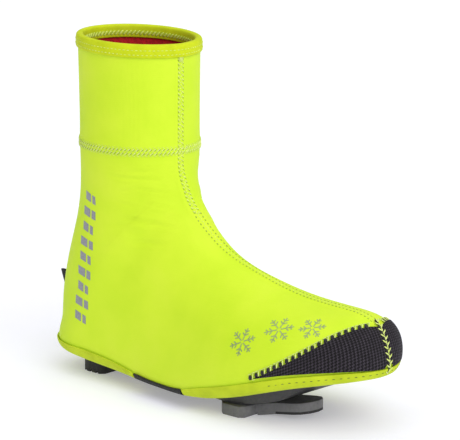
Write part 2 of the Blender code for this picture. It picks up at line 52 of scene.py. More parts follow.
def new_object(name, data):
    """Puts a new object with this data into the scene."""
    obj = bpy.data.objects.new(name, data)
    bpy.context.scene.collection.objects.link(obj)
    return obj


def shell_object(name, shell):
    """Turns an edited mesh into a new object."""
    data = bpy.data.meshes.new(name)
    shell.to_mesh(data)
    shell.free()
    return new_object(name, data)


# %% [markdown]
# ## Sizes that the looks share
# A shoe is easiest to talk about from the back of its heel. These few sizes repeat the solids'
# own: where the leg's axis stands, how high the seams are, and how the toe swings inwards.
# Everything that is sewn or printed is placed from them.

# %% Sizes and the line inside the shoe
HEEL_BACK = -38.0 * MM
LENGTH = 286.5 * MM
LEG_AXIS = 31.3 * MM
CUFF_SEAM = 171.2 * MM
COLLAR = 247.0 * MM
COLLAR_DROP = 3.0 * MM
TOE_CENTRE = Vector((195.0, 9.0, 40.0)) * MM
TOE_RADIUS = 45.0 * MM
ANKLE_HEIGHT = 104.0 * MM
CORE_FRONT = 205.0 * MM
SOLE_TOP = 12.0 * MM
SOLE_RISE_START = 130.0 * MM
SOLE_RISE = 28.0 / 120.0

MIDDLE_CHART = (
    # share of the length, swing of the middle line and of the front seam to the inner side
    (0.00, 0.0, -6.3),
    (0.40, 0.0, -6.3),
    (0.46, 1.2, -3.2),
    (0.53, 2.9, 1.1),
    (0.60, 4.6, 4.5),
    (0.72, 6.9, 6.9),
    (0.85, 9.7, 9.7),
    (0.95, 11.5, 11.5),
    (1.00, 11.5, 11.5),
)


def read_chart(chart, number, at):
    """Reads column number of a chart, between its rows."""
    table = np.array(chart, float)
    return float(np.interp(at, table[:, 0], table[:, number]))


def swing(x, number=1):
    """Sideways place of the middle line, or of the front seam, at a place in X."""
    return read_chart(MIDDLE_CHART, number, (x - HEEL_BACK) / LENGTH) * MM


def core_point(point):
    """The nearest point of a line inside the foot and the leg, which outward means away from."""
    if point.z < ANKLE_HEIGHT and point.x > LEG_AXIS:
        sole_top = SOLE_TOP + SOLE_RISE * max(0.0, point.x - SOLE_RISE_START)
        return Vector((min(point.x, CORE_FRONT), swing(point.x), 0.5 * (point.z + sole_top)))
    return Vector((LEG_AXIS, 0.0, point.z))


def level_way(turn):
    """The level direction at a turn from the toe, in radians."""
    return Vector((math.cos(turn), math.sin(turn), 0.0))


def upright_way(degrees):
    """The direction in the plane of the shoe's length, at degrees above the toe."""
    turn = math.radians(degrees)
    return Vector((math.cos(turn), 0.0, math.sin(turn)))


print("leg axis at", LEG_AXIS, "collar at", COLLAR)

# %% [markdown]
# ## Camera
# The picture was taken from a little above the shoe and in front of its outer side, with a long
# lens. A long lens keeps the toe from looking big, so the camera stands almost two metres off. A
# constraint could aim it at a target, but two points and a quaternion need no extra object.

# %% Camera
CAMERA_PLACE = Vector((1.2866, -1.2865, 0.5196))
CAMERA_AIM = Vector((0.1382, -0.0231, 0.1339))
CAMERA_LENS = 202.8


def look_along(obj, way):
    """Turns a camera or a light to look one way."""
    obj.rotation_mode = "QUATERNION"
    obj.rotation_quaternion = Vector(way).to_track_quat("-Z", "Y")


camera_data = bpy.data.cameras.new("camera")
camera_data.lens = CAMERA_LENS
camera_data.sensor_width = 36.0
camera = new_object("camera", camera_data)
camera.location = CAMERA_PLACE
look_along(camera, CAMERA_AIM - CAMERA_PLACE)
bpy.context.scene.camera = camera
print("camera", [round(c, 3) for c in camera.location], "lens", CAMERA_LENS)

# %% [markdown]
# ## Light and floor
# A studio picture of one product has a pale floor that fills the frame, one big soft light over
# the front and a wider one from above. Area lights would do, but a sun that looks wide lights the
# whole floor evenly, and still gives the soft shadow that shows where the sole meets the ground.
# The plain view transform keeps the strong lime as it is.

# %% Light and floor
bpy.context.scene.view_settings.view_transform = "Standard"
bpy.context.scene.view_settings.look = "None"

WORLD_LIGHT = 0.42
FLOOR_REACH = 6.0

world = bpy.data.worlds.new("studio")
world.use_nodes = True
background = world.node_tree.nodes["Background"]
background.inputs["Color"].default_value = (1.0, 1.0, 1.0, 1.0)
background.inputs["Strength"].default_value = WORLD_LIGHT
bpy.context.scene.world = world


def soft_light(name, way, angle, strength):
    """A far light from one side, softened by how wide it looks from the shoe."""
    data = bpy.data.lights.new(name, "SUN")
    data.angle = math.radians(angle)
    data.energy = strength
    look_along(new_object(name, data), -Vector(way))


soft_light("light_over_toe", (1.0, -0.35, 0.65), 50, 1.22)
soft_light("light_top", (0.15, 0.05, 1.0), 100, 1.25)

floor_mesh = bpy.data.meshes.new("floor")
corners = [(x * FLOOR_REACH, y * FLOOR_REACH, 0) for x, y in ((-1, -1), (1, -1), (1, 1), (-1, 1))]
floor_mesh.from_pydata(corners, [], [(0, 1, 2, 3)])
floor = new_object("floor", floor_mesh)
print("two soft lights over a world light of", WORLD_LIGHT)

# %% [markdown]
# ## A small kit for finishes
# Each finish is a Principled shader whose colour, roughness and height come from a few textures.
# The nodes could be wired by hand each time, but the wiring would hide the recipe. The helpers
# below add one texture or one sum at a time, so that each finish reads as a list of what the eye
# sees: a weave, a mottling, a nap.

# %% Helpers for finishes


class Finish:
    """A material that is built up one texture at a time."""

    def __init__(self, name, roughness=0.6, **sockets):
        self.material = bpy.data.materials.new(name)
        self.material.use_nodes = True
        self.tree = self.material.node_tree
        self.shader = self.tree.nodes["Principled BSDF"]
        self.shader.inputs["Roughness"].default_value = roughness
        for socket, value in sockets.items():
            self.shader.inputs[socket.replace("_", " ")].default_value = value

    def node(self, kind, **settings):
        made = self.tree.nodes.new(kind)
        for key, value in settings.items():
            setattr(made, key, value)
        return made

    def join(self, source, target):
        self.tree.links.new(source, target)

    def place(self, stretch=(1.0, 1.0, 1.0), turn=0.0, uv=None):
        """Coordinates of the object, or of a UV map, stretched and turned."""
        mapping = self.node("ShaderNodeMapping")
        mapping.inputs["Scale"].default_value = stretch
        mapping.inputs["Rotation"].default_value = (0.0, 0.0, turn)
        if uv:
            source = self.node("ShaderNodeUVMap", uv_map=uv).outputs["UV"]
        else:
            source = self.node("ShaderNodeTexCoord").outputs["Object"]
        self.join(source, mapping.inputs["Vector"])
        return mapping.outputs["Vector"]

    def texture(self, kind, where, scale, **settings):
        made = self.node("ShaderNodeTex" + kind, **settings)
        self.join(where, made.inputs["Vector"])
        made.inputs["Scale"].default_value = scale
        return made

    def noise(self, where, scale, detail=3.0, roughness=0.55):
        made = self.texture("Noise", where, scale)
        made.inputs["Detail"].default_value = detail
        made.inputs["Roughness"].default_value = roughness
        return made.outputs["Fac"]

    def cells(self, where, scale):
        return self.texture("Voronoi", where, scale).outputs["Distance"]

    def waves(self, where, scale, direction="X"):
        return self.texture("Wave", where, scale, bands_direction=direction).outputs["Fac"]

    def checks(self, where, scale):
        return self.texture("Checker", where, scale).outputs["Fac"]

    def feed(self, socket, value):
        """Gives a socket a plain number or the result of another node."""
        if isinstance(value, (int, float)):
            socket.default_value = value
        else:
            self.join(value, socket)

    def sum(self, kind, a, b):
        made = self.node("ShaderNodeMath", operation=kind)
        self.feed(made.inputs[0], a)
        self.feed(made.inputs[1], b)
        return made.outputs["Value"]

    def choose(self, share, a, b):
        """a where share is 0 and b where it is 1, for plain numbers."""
        made = self.node("ShaderNodeMix")
        for socket, value in ((0, share), (2, a), (3, b)):
            self.feed(made.inputs[socket], value)
        return made.outputs[0]

    def ramp(self, share, *stops):
        """Colours along a number: (place, (r, g, b)) for each stop."""
        made = self.node("ShaderNodeValToRGB")
        self.join(share, made.inputs["Fac"])
        points = made.color_ramp.elements
        while len(points) < len(stops):
            points.new(0.5)
        for point, (place, colour) in zip(points, stops):
            point.position = place
            point.color = (*colour, 1.0)
        return made.outputs["Color"]

    def colour(self, source):
        self.join(source, self.shader.inputs["Base Color"])

    def rough(self, share, low, high):
        made = self.node("ShaderNodeMapRange")
        self.join(share, made.inputs["Value"])
        made.inputs["To Min"].default_value = low
        made.inputs["To Max"].default_value = high
        self.join(made.outputs["Result"], self.shader.inputs["Roughness"])

    def relief(self, height, depth, strength=1.0):
        """Bump of a real depth in metres; a second call adds to the first."""
        made = self.node("ShaderNodeBump")
        made.inputs["Distance"].default_value = depth
        made.inputs["Strength"].default_value = strength
        self.join(height, made.inputs["Height"])
        normal = self.shader.inputs["Normal"]
        if normal.is_linked:
            self.join(normal.links[0].from_socket, made.inputs["Normal"])
        self.join(made.outputs["Normal"], normal)


def floor_finish():
    """Pale paper over a light table: the glow from below keeps the shadow light and plain."""
    made = Finish("floor_paper", 0.9, Specular_IOR_Level=0.0, Emission_Strength=0.30,
                  Emission_Color=(1.0, 1.0, 1.0, 1.0))
    grain = made.noise(made.place(), 40.0)
    made.colour(made.ramp(grain, (0.3, (0.74, 0.74, 0.83)), (0.7, (0.76, 0.76, 0.85))))
    return made.material


floor_mesh.materials.append(floor_finish())
print("floor finish ready")

# %% [markdown]
# ## The neoprene
# The shell is foam rubber with a fine knitted face, dyed a fluorescent lime. From a step away it
# looks smooth and matt, with a faint mottling where the knit is stretched, a soft bloom at grazing
# angles, and tiny loops only in a close view. A picture of cloth wrapped round it would stretch at
# the ankle, so the finish is computed: a low-contrast cloudy colour, a little sheen, and three
# layers of shallow relief.

# %% Lime neoprene


def lime_neoprene():
    made = Finish("lime_neoprene", 0.62, Specular_IOR_Level=0.16, Sheen_Weight=0.02,
                  Sheen_Roughness=0.45, Sheen_Tint=(0.75, 1.0, 0.10, 1.0))
    where = made.place()
    clouds = made.noise(where, 22.0, 4.0)
    made.colour(made.ramp(clouds, (0.30, (0.60, 0.84, 0.024)), (0.55, (0.66, 0.875, 0.034)),
                          (0.75, (0.70, 0.885, 0.046))))
    made.rough(made.noise(where, 160.0, 2.0), 0.52, 0.70)
    made.relief(made.noise(where, 420.0, 2.0), 0.00010, 0.6)
    knit = made.sum("MULTIPLY", made.waves(made.place(), 210.0, "Z"),
                    made.waves(made.place(turn=0.6), 260.0, "X"))
    made.relief(knit, 0.00006, 0.5)
    made.relief(made.noise(where, 55.0, 3.0), 0.00030, 0.35)
    return made.material


LIME = lime_neoprene()
print("finish:", LIME.name)

# %% [markdown]
# ## The fleece lining
# The lining is brushed fleece in a strong red, seen only inside the collar. Strands of hair would
# come closest, but an export drops them. From a step away fleece is a rough colour broken into
# small tufts, so one fine noise drives both colour and relief, and a reddish sheen stands for the
# loose fibres that catch the light.

# %% Red fleece


def red_fleece():
    made = Finish("red_fleece", 0.95, Sheen_Weight=0.6, Sheen_Roughness=0.5,
                  Sheen_Tint=(1.0, 0.25, 0.2, 1.0))
    where = made.place()
    tufts = made.noise(where, 500.0, 4.0, 0.7)
    made.colour(made.ramp(tufts, (0.3, (0.30, 0.002, 0.006)), (0.7, (0.62, 0.008, 0.016))))
    made.relief(tufts, 0.0006, 0.9)
    made.relief(made.noise(where, 90.0, 2.0), 0.0010, 0.5)
    return made.material


FLEECE = red_fleece()
print("finish:", FLEECE.name)

# %% [markdown]
# ## Band and binding
# The hem band and the collar's binding are narrow knitted tapes, coloured a duller and yellower
# green than the shell. One material could serve both, but the binding's ribs are finer and stand
# out more. So one recipe mixes the colour, and each tape adds its own ribs.

# %% Dyed tapes


def knitted_tape(name, roughness, tint, clouds, dark, light):
    made = Finish(name, roughness, Specular_IOR_Level=0.2, Sheen_Weight=0.05, Sheen_Tint=tint)
    made.colour(made.ramp(made.noise(made.place(), *clouds), (0.3, dark), (0.7, light)))
    return made


def olive_band():
    made = knitted_tape("olive_band", 0.68, (0.8, 1.0, 0.2, 1.0), (60.0, 4.0),
                     (0.47, 0.59, 0.012), (0.62, 0.75, 0.020))
    made.relief(made.noise(made.place(), 700.0, 2.0), 0.00012, 0.7)
    made.relief(made.waves(made.place(), 330.0, "Z"), 0.00008, 0.5)
    return made.material


def yellow_binding():
    made = knitted_tape("yellow_binding", 0.66, (1.0, 1.0, 0.2, 1.0), (120.0, 3.0),
                     (0.54, 0.65, 0.005), (0.64, 0.75, 0.008))
    made.relief(made.waves(made.place(turn=0.5), 420.0, "Z"), 0.00010, 0.6)
    made.relief(made.noise(made.place(), 600.0, 2.0), 0.00010, 0.6)
    return made.material


BAND = olive_band()
BINDING = yellow_binding()
print("finishes:", BAND.name, BINDING.name)

# %% [markdown]
# ## The weave of the toe
# The toe cap is a tough black cloth in a basket weave, where small blocks of threads pass over
# and under in turn. Modelled threads would need millions of faces. Instead a Checker picks, block
# by block, between two Wave textures that run along and across, and the same pattern drives
# colour, gloss and relief. It reads the cap's own UV map, so it turns with the toe.

# %% Woven toe


def woven_toe():
    """Coarse basket weave on the cap's own UV map, whose unit is one millimetre."""
    block, thread = 0.90, 0.141
    made = Finish("woven_toe", 0.55, Specular_IOR_Level=0.3)
    where = made.place(uv="weave")
    check = made.checks(where, block)
    warp = made.waves(where, thread, "X")
    weft = made.waves(where, thread, "Y")
    over = made.choose(check, warp, weft)
    dust = made.noise(made.place(), 300.0, 3.0)
    shade = made.sum("ADD", made.sum("MULTIPLY", over, 0.6), made.sum("MULTIPLY", dust, 0.4))
    made.colour(made.ramp(shade, (0.30, (0.002, 0.001, 0.002)), (0.58, (0.009, 0.007, 0.010)),
                          (0.80, (0.050, 0.040, 0.054))))
    made.rough(over, 0.85, 0.60)
    made.relief(over, 0.00045, 0.9)
    made.relief(check, 0.00015, 0.4)
    return made.material


TOE_WEAVE = woven_toe()
print("finish:", TOE_WEAVE.name)

# %% [markdown]
# ## Black webbing
# The arch strap and the heel tab are narrow black webbing with fine slanted ribs. They could get a
# UV map as the toe has, but for pieces this small a Wave texture on the object's own coordinates
# is enough, and a noise dulls the ribs as dust does.

# %% Black webbing


def black_webbing():
    made = Finish("black_webbing", 0.7)
    ribs = made.waves(made.place(turn=0.78), 400.0, "DIAGONAL")
    dust = made.noise(made.place(), 350.0, 3.0)
    shade = made.sum("MULTIPLY", ribs, dust)
    made.colour(made.ramp(shade, (0.1, (0.004, 0.004, 0.004)), (0.6, (0.018, 0.017, 0.018))))
    made.relief(ribs, 0.00025, 0.8)
    return made.material


WEBBING = black_webbing()
print("finish:", WEBBING.name)

# %% [markdown]
# ## From a faceted solid to a soft skin
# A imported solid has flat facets, and stretched neoprene has none. Smooth shading alone would leave
# a broken outline. Merging a copy of the solid, pairing its triangles into squares and letting
# Subdivision Surface round them gives the same form with a smooth skin. Edges that are sharp on
# the real piece get a crease, so they stay.

# %% Helper for a fine copy
WELD = 0.012 * MM
FINE_LEVELS = 2
CREASE_ANGLE = math.radians(58)


def solid_shell(node):
    """An editable copy of a CAD node's mesh with its points merged."""
    shell = bmesh.new()
    shell.from_mesh(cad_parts[node].data)
    bmesh.ops.remove_doubles(shell, verts=shell.verts, dist=WELD)
    return shell


def fine_copy(node, crease=0.75):
    """A finer mesh of a CAD node, as a new object that nothing rides on yet."""
    shell = solid_shell(node)
    bmesh.ops.join_triangles(shell, faces=shell.faces, angle_face_threshold=math.radians(32),
                             angle_shape_threshold=math.radians(70))
    layer = shell.edges.layers.float.new("crease_edge")
    for edge in shell.edges:
        if len(edge.link_faces) == 2 and edge.calc_face_angle(0.0) > CREASE_ANGLE:
            edge[layer] = crease
    obj = shell_object(node + "_fine", shell)
    rounder = obj.modifiers.new("round", "SUBSURF")
    rounder.levels = FINE_LEVELS
    rounder.render_levels = FINE_LEVELS
    return plain_mesh(obj)


def plain_mesh(obj):
    """Turns what the modifiers make into the object's own mesh."""
    graph = bpy.context.evaluated_depsgraph_get()
    made = bpy.data.meshes.new_from_object(obj.evaluated_get(graph))
    obj.modifiers.clear()
    obj.data = made
    made.shade_smooth()
    return obj


def points_of(obj):
    """The places of an object's points, as rows of numbers."""
    flat = np.zeros(len(obj.data.vertices) * 3)
    obj.data.vertices.foreach_get("co", flat)
    return flat.reshape(-1, 3)


def move_points(obj, points):
    obj.data.vertices.foreach_set("co", np.asarray(points, float).ravel())
    obj.data.update()


def skin_tree(*objs):
    """A search tree of some pieces' surfaces, for rays and for nearest points."""
    corners, faces = [], []
    for obj in objs:
        start = len(corners)
        corners += [v.co.copy() for v in obj.data.vertices]
        faces += [tuple(start + i for i in face.vertices) for face in obj.data.polygons]
    return BVHTree.FromPolygons(corners, faces)


print("fine copies: points merged within", WELD, "m,", FINE_LEVELS, "levels of subdivision")

# %% [markdown]
# ### Dressing a piece
# Every finished mesh goes through the same door: it gets its name, its finishes, its place on the
# one body and the solids that it stands in for. Doing this in one helper keeps any of it from
# being forgotten.

# %% Helper for a finished piece


def dress(obj, name, slot, finishes, *nodes):
    """Names a finished piece, gives it its finish and its place on the one body."""
    obj.name = name
    obj.data.name = name
    if finishes:
        obj.data.materials.clear()
        for finish in finishes:
            obj.data.materials.append(finish)
    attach(obj, "root")
    if nodes:
        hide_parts(*nodes)
    print(name, len(obj.data.polygons), "faces")
    return obj


print("bare so far:", ", ".join(sorted(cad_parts)))

# %% [markdown]
# ## The shell and its ankle folds
# Neoprene bends at the front of the ankle in a few long shallow folds. They are too few and too
# soft for a texture, so each one is listed: where it lies round the leg, how high, how it slants,
# how long, wide and deep. The wall's two faces move together, so it keeps its thickness.

# %% Table of folds
FOLDS = (
    # turn round the leg, height, slant, reach round the leg, half width, depth
    (-42, 150, 3, 42, 3.6, 0.55),
    (-36, 138.5, -4, 46, 4.6, 0.75),
    (-30, 127, -7, 38, 4.2, 0.65),
    (-52, 112, -9, 34, 5.2, 0.55),
    (-70, 160.5, 2, 30, 3.6, 0.35),
    (-95, 130, 5, 30, 5, 0.40),
    (40, 146, -3, 40, 4, 0.20),
    (44, 131, 5, 42, 4.8, 0.25),
    (60, 115, 8, 34, 5.4, 0.30),
    (88, 141, -4, 30, 4.6, 0.35),
    (165, 118, 0, 50, 6, 0.45),
    (170, 96, 0, 44, 6, 0.35),
    (-33, 60, 0, 13, 20, 0.90),
    (-20, 64, 0, 10, 14, -0.70),
    (-62, 75, 4, 24, 16, 0.60),
    (-41, 121, -3.5, 32, 2, 2.10),
    (-42, 106.5, 1.5, 26, 2, 1.60),
    (-62, 152, -1.5, 26, 1.7, 0.80),
    (-48, 157, 1.5, 26, 1.5, 0.56),
    (-40, 151.5, -2, 30, 1.6, 0.60),
    (-34, 143, -3, 24, 1.6, 0.72),
    (-58, 143.5, 2.5, 20, 1.5, 0.52),
    (-38, 134, -5, 28, 1.8, 0.80),
    (-60, 133, -2, 22, 1.6, 0.68),
    (-44, 125.5, -6, 24, 1.7, 0.64),
    (-60, 119.5, 3, 20, 1.6, 0.48),
    (44, 138, 3, 26, 1.7, 0.36),
    (50, 125, 5, 24, 1.7, 0.30),
    (-60, 205, 4, 40, 9, 0.30),
    (75, 214, -4, 44, 9, 0.30),
)
# each trough has a lower and wider ridge beside it
RIDGE_SHARE = 0.4
RIDGE_REACH = 1.9
ANKLE_BOTTOM, ANKLE_TOP = 96 * MM, 164 * MM
ANKLE_BACK, ANKLE_FRONT = -84, -4


def fold_depth(point):
    """How far the skin sinks, in metres, at a point of the leg or instep."""
    turn = math.degrees(math.atan2(point.y, point.x - LEG_AXIS))
    depth = 0.0
    for middle, height, slant, span, half, deep in FOLDS:
        away = (turn - middle + 180) % 360 - 180
        share = away / span
        if abs(share) >= 1:
            continue
        drop = (point.z / MM - height - slant * share) / half
        if abs(drop) < 3:
            trough = math.exp(-drop * drop) - RIDGE_SHARE * math.exp(-(drop / RIDGE_REACH) ** 2)
            depth += deep * (1 - share * share) ** 2 * trough
    return depth * MM


print(len(FOLDS), "folds")

# %% [markdown]
# ### Folding the upper
# The finest folds are narrower than the mesh's squares, so the outer ankle is cut once more. Then
# every point moves towards the line inside the foot and the leg, by the depth of the folds there.
# A Displace modifier could do this from a texture, but a formula says exactly where each fold
# lies. The faces that look inwards get the fleece.

# %% The folded upper
upper = fine_copy("upper")
ankle = bmesh.new()
ankle.from_mesh(upper.data)
creased = []
for edge in ankle.edges:
    middle = (edge.verts[0].co + edge.verts[1].co) / 2
    turn = math.degrees(math.atan2(middle.y, middle.x - LEG_AXIS))
    if ANKLE_BOTTOM < middle.z < ANKLE_TOP and ANKLE_BACK < turn < ANKLE_FRONT:
        creased.append(edge)
bmesh.ops.subdivide_edges(ankle, edges=creased, cuts=1, use_grid_fill=True)
ankle.to_mesh(upper.data)
ankle.free()
print("upper with a finer ankle:", len(upper.data.polygons), "faces")
moved = []
for vertex in upper.data.vertices:
    outward = vertex.co - core_point(vertex.co)
    moved.append(vertex.co - outward.normalized() * fold_depth(vertex.co))
move_points(upper, moved)

dress(upper, "shell", "neoprene_lime", [LIME, FLEECE], "upper")
for face in upper.data.polygons:
    centre = Vector(face.center)
    if face.normal.dot(centre - core_point(centre)) < 0:
        face.material_index = 1
skin = skin_tree(upper)
print("points of the shell:", len(upper.data.vertices))

# %% [markdown]
# ## Overlays that follow the skin
# The toe caps and bands lie on the shell. Their fine copies are rounded on their own, so each
# point is then set again at a checked distance from the shell: never under a third of a
# millimetre, so nothing sinks in, and never further out than the overlay is thick. A Shrinkwrap
# modifier would press everything to one distance and lose the overlay's own thickness.

# %% Helpers for overlays


def lay_over(obj, low, high):
    """Keeps every point of an overlay between two distances from the shell."""
    placed = []
    for vertex in obj.data.vertices:
        spot, normal, _, _ = skin.find_nearest(vertex.co)
        side = (vertex.co - spot).dot(normal)
        near = abs(side) < 4 * high
        placed.append(spot + normal * min(high, max(low, side)) if near else vertex.co)
    move_points(obj, placed)


def weave_map(obj):
    """A UV map in millimetres: round the toe one way, up the wall and over the top the other."""
    layer = obj.data.uv_layers.new(name="weave")
    for loop in obj.data.loops:
        point = obj.data.vertices[loop.vertex_index].co - TOE_CENTRE
        turn = math.atan2(point.y, max(point.x, -0.5 * TOE_RADIUS) + TOE_RADIUS)
        reach = math.hypot(point.x + TOE_RADIUS, point.y)
        layer.data[loop.index].uv = (turn * 2 * TOE_RADIUS / MM, (point.z - reach) / MM)


print("cap weave turns about", [round(c, 3) for c in TOE_CENTRE])

# %% [markdown]
# ### Dressing the overlays
# Each overlay is one call after another: a fine copy, a check of its distance, a map for the weave
# where it has one, and its finish. The caps and bands come in pairs, so two loops do them. The
# strap, the collar's binding and the heel tab need no more than their fine copies.

# %% Toe caps, bands, strap, binding and tab
OVERLAY_LOW = 0.35 * MM
CAP_HIGH = 1.75 * MM
BAND_HIGH = 1.60 * MM

toe_caps = []
for side in ("outer", "inner"):
    node = "toe_cap_" + side
    cap = fine_copy(node)
    lay_over(cap, OVERLAY_LOW, CAP_HIGH)
    weave_map(cap)
    toe_caps.append(dress(cap, node + "_woven", "toe_weave", [TOE_WEAVE], node))

bands = []
for place in ("front", "rear"):
    node = "hem_band_" + place
    band = fine_copy(node)
    lay_over(band, OVERLAY_LOW, BAND_HIGH)
    bands.append(dress(band, node + "_soft", "band_olive", [BAND], node))

dress(fine_copy("arch_strap"), "arch_strap_webbing", "strap_black", [WEBBING], "arch_strap")
binding = fine_copy("collar_binding", 0.35)
dress(binding, "collar_binding_soft", "binding_yellow", [BINDING], "collar_binding")
dress(fine_copy("heel_tab", 0.8), "heel_tab_webbing", "tab_black", [WEBBING], "heel_tab")

# %% [markdown]
# ## Lines on the skin
# Every seam is a line on the surface. A line is found as a seamstress would draw it: a ray from
# outside is sent at the shoe at each place along the seam, and where it lands is the point, with
# the direction that the skin faces there. A curve drawn by hand would sink in or float. The line is
# then read again at even steps, so that stitches on it are evenly spaced.

# %% Helpers for lines on the skin
STEP = 1.0 * MM
# how far out a ray starts, which is well outside the shoe
FAR = 300 * MM


def land(tree, start, towards):
    """Where a ray from outside lands, and the direction the surface faces."""
    start = Vector(start)
    spot, normal, _, _ = tree.ray_cast(start, (Vector(towards) - start).normalized())
    return None if spot is None else (spot, normal.normalized())


def even_steps(line, closed=False):
    """Reads a line of (point, normal) again at steps of a millimetre."""
    line = [p for p in line if p is not None]
    if closed:
        line = line + [line[0]]
    spots = np.array([p[0] for p in line])
    faces = np.array([p[1] for p in line])
    run = np.concatenate([[0.0], np.cumsum(np.linalg.norm(np.diff(spots, axis=0), axis=1))])
    count = max(2, int(round(run[-1] / STEP)))
    at = np.linspace(0.0, run[-1], count + 1)
    if closed:
        at = at[:-1]
    read = [[np.interp(at, run, values[:, k]) for k in range(3)] for values in (spots, faces)]
    spots, faces = np.array(read[0]).T, np.array(read[1]).T
    if closed:
        ahead = np.roll(spots, -1, 0) - np.roll(spots, 1, 0)
    else:
        ahead = np.gradient(spots, axis=0)
    steps = []
    for spot, out, along in zip(spots, faces, ahead):
        out = Vector(out).normalized()
        along = Vector(along).normalized()
        along = (along - out * along.dot(out)).normalized()
        steps.append((Vector(spot), along, out, out.cross(along)))
    return steps


def ring_line(tree, height, drop=0.0, count=180, inside=False):
    """A level line round the leg; drop lowers it evenly towards the front.

    The rays come from outside, or, for the inside of the collar, from the leg's axis.
    """
    line = []
    for k in range(count):
        way = level_way(2 * math.pi * k / count)
        centre = Vector((LEG_AXIS, 0, height - drop * (0.5 + 0.5 * way.x)))
        ends = (centre, centre + way * FAR)
        line.append(land(tree, *(ends if inside else ends[::-1])))
    return line


print("rays start", FAR, "m out, lines step by", STEP, "m")

# %% [markdown]
# ### Front seam and cuff seam
# The cuff seam is a level ring. The front seam runs down the leg, round the bend of the ankle and
# along the foot to the toe. Level rays find it on the leg and upright ones on the foot, but both
# would miss the bend, so there the rays fan out from a point in front of it.

# %% Seam lines
SEAM_TOP = 239.0 * MM
SEAM_BEND = Vector((162.0, 0.0, 200.0)) * MM
SEAM_TOE = 247.5 * MM


def front_seam_line():
    """Down the front of the leg, round the bend of the ankle and along the foot to the toe."""
    line = []
    for z in np.linspace(SEAM_TOP, SEAM_BEND.z, 20):
        line.append(land(skin, (FAR, swing(0.0, 2), z), (0.0, swing(0.0, 2), z)))
    for angle in np.linspace(181.0, 269.0, 50):
        way = upright_way(angle)
        side = 0.0
        for _ in range(3):
            start = SEAM_BEND + Vector((0, side, 0))
            found = land(skin, start, start + way)
            if found is None:
                break
            side = swing(found[0].x, 2)
        line.append(found)
    for x in np.linspace(SEAM_BEND.x + 2 * MM, SEAM_TOE, 60):
        line.append(land(skin, (x, swing(x, 2), FAR), (x, swing(x, 2), 0.0)))
    return line


front_seam = even_steps(front_seam_line())
cuff_seam = even_steps(ring_line(skin, CUFF_SEAM), True)
print("front seam", len(front_seam), "mm, cuff seam", len(cuff_seam), "mm")

# %% [markdown]
# ## Threads
# The thread is a bright twisted yarn. It looks lime or pale where it lies on top, and olive where
# it sinks in and where its neighbours shade it. Beads this small are too fine for the renderer to
# shade clearly, so the olive and dark green threads are painted shade. A black one sews the toe cap.

# %% Threads


def thread_finish(name, light, dark):
    made = Finish(name, 0.6, Sheen_Weight=0.08, Specular_IOR_Level=0.2)
    made.colour(made.ramp(made.noise(made.place(), 900.0, 2.0), (0.35, dark), (0.65, light)))
    made.relief(made.waves(made.place(turn=0.7), 900.0, "DIAGONAL"), 0.00008, 0.8)
    return made.material


LIME_THREAD = thread_finish("lime_thread", (0.78, 0.90, 0.22), (0.60, 0.74, 0.08))
PALE_THREAD = thread_finish("pale_thread", (0.82, 0.92, 0.32), (0.63, 0.76, 0.15))
# painted shade: the olive and dark green threads are the same yarn where it lies in shade
OLIVE_SHADE_THREAD = thread_finish("olive_shade_thread", (0.42, 0.56, 0.07), (0.30, 0.42, 0.03))
SHADE_THREAD = thread_finish("shade_thread", (0.20, 0.27, 0.03), (0.12, 0.17, 0.015))
DARK_THREAD = thread_finish("black_thread", (0.05, 0.05, 0.05), (0.01, 0.01, 0.01))
print("threads:", LIME_THREAD.name, PALE_THREAD.name, OLIVE_SHADE_THREAD.name, SHADE_THREAD.name,
      DARK_THREAD.name)

# %% [markdown]
# ## Stitches
# A stitch is a short fat bead of thread that dips into the cloth at both ends. Thousands of them
# are best instanced by Geometry Nodes: the script lays out one point for each stitch, with the
# way it runs and the way it faces, and the tree sets the same low bead on every point. Realize
# Instances makes them one real mesh, and Set Material gives them their thread.

# %% The stitch tree


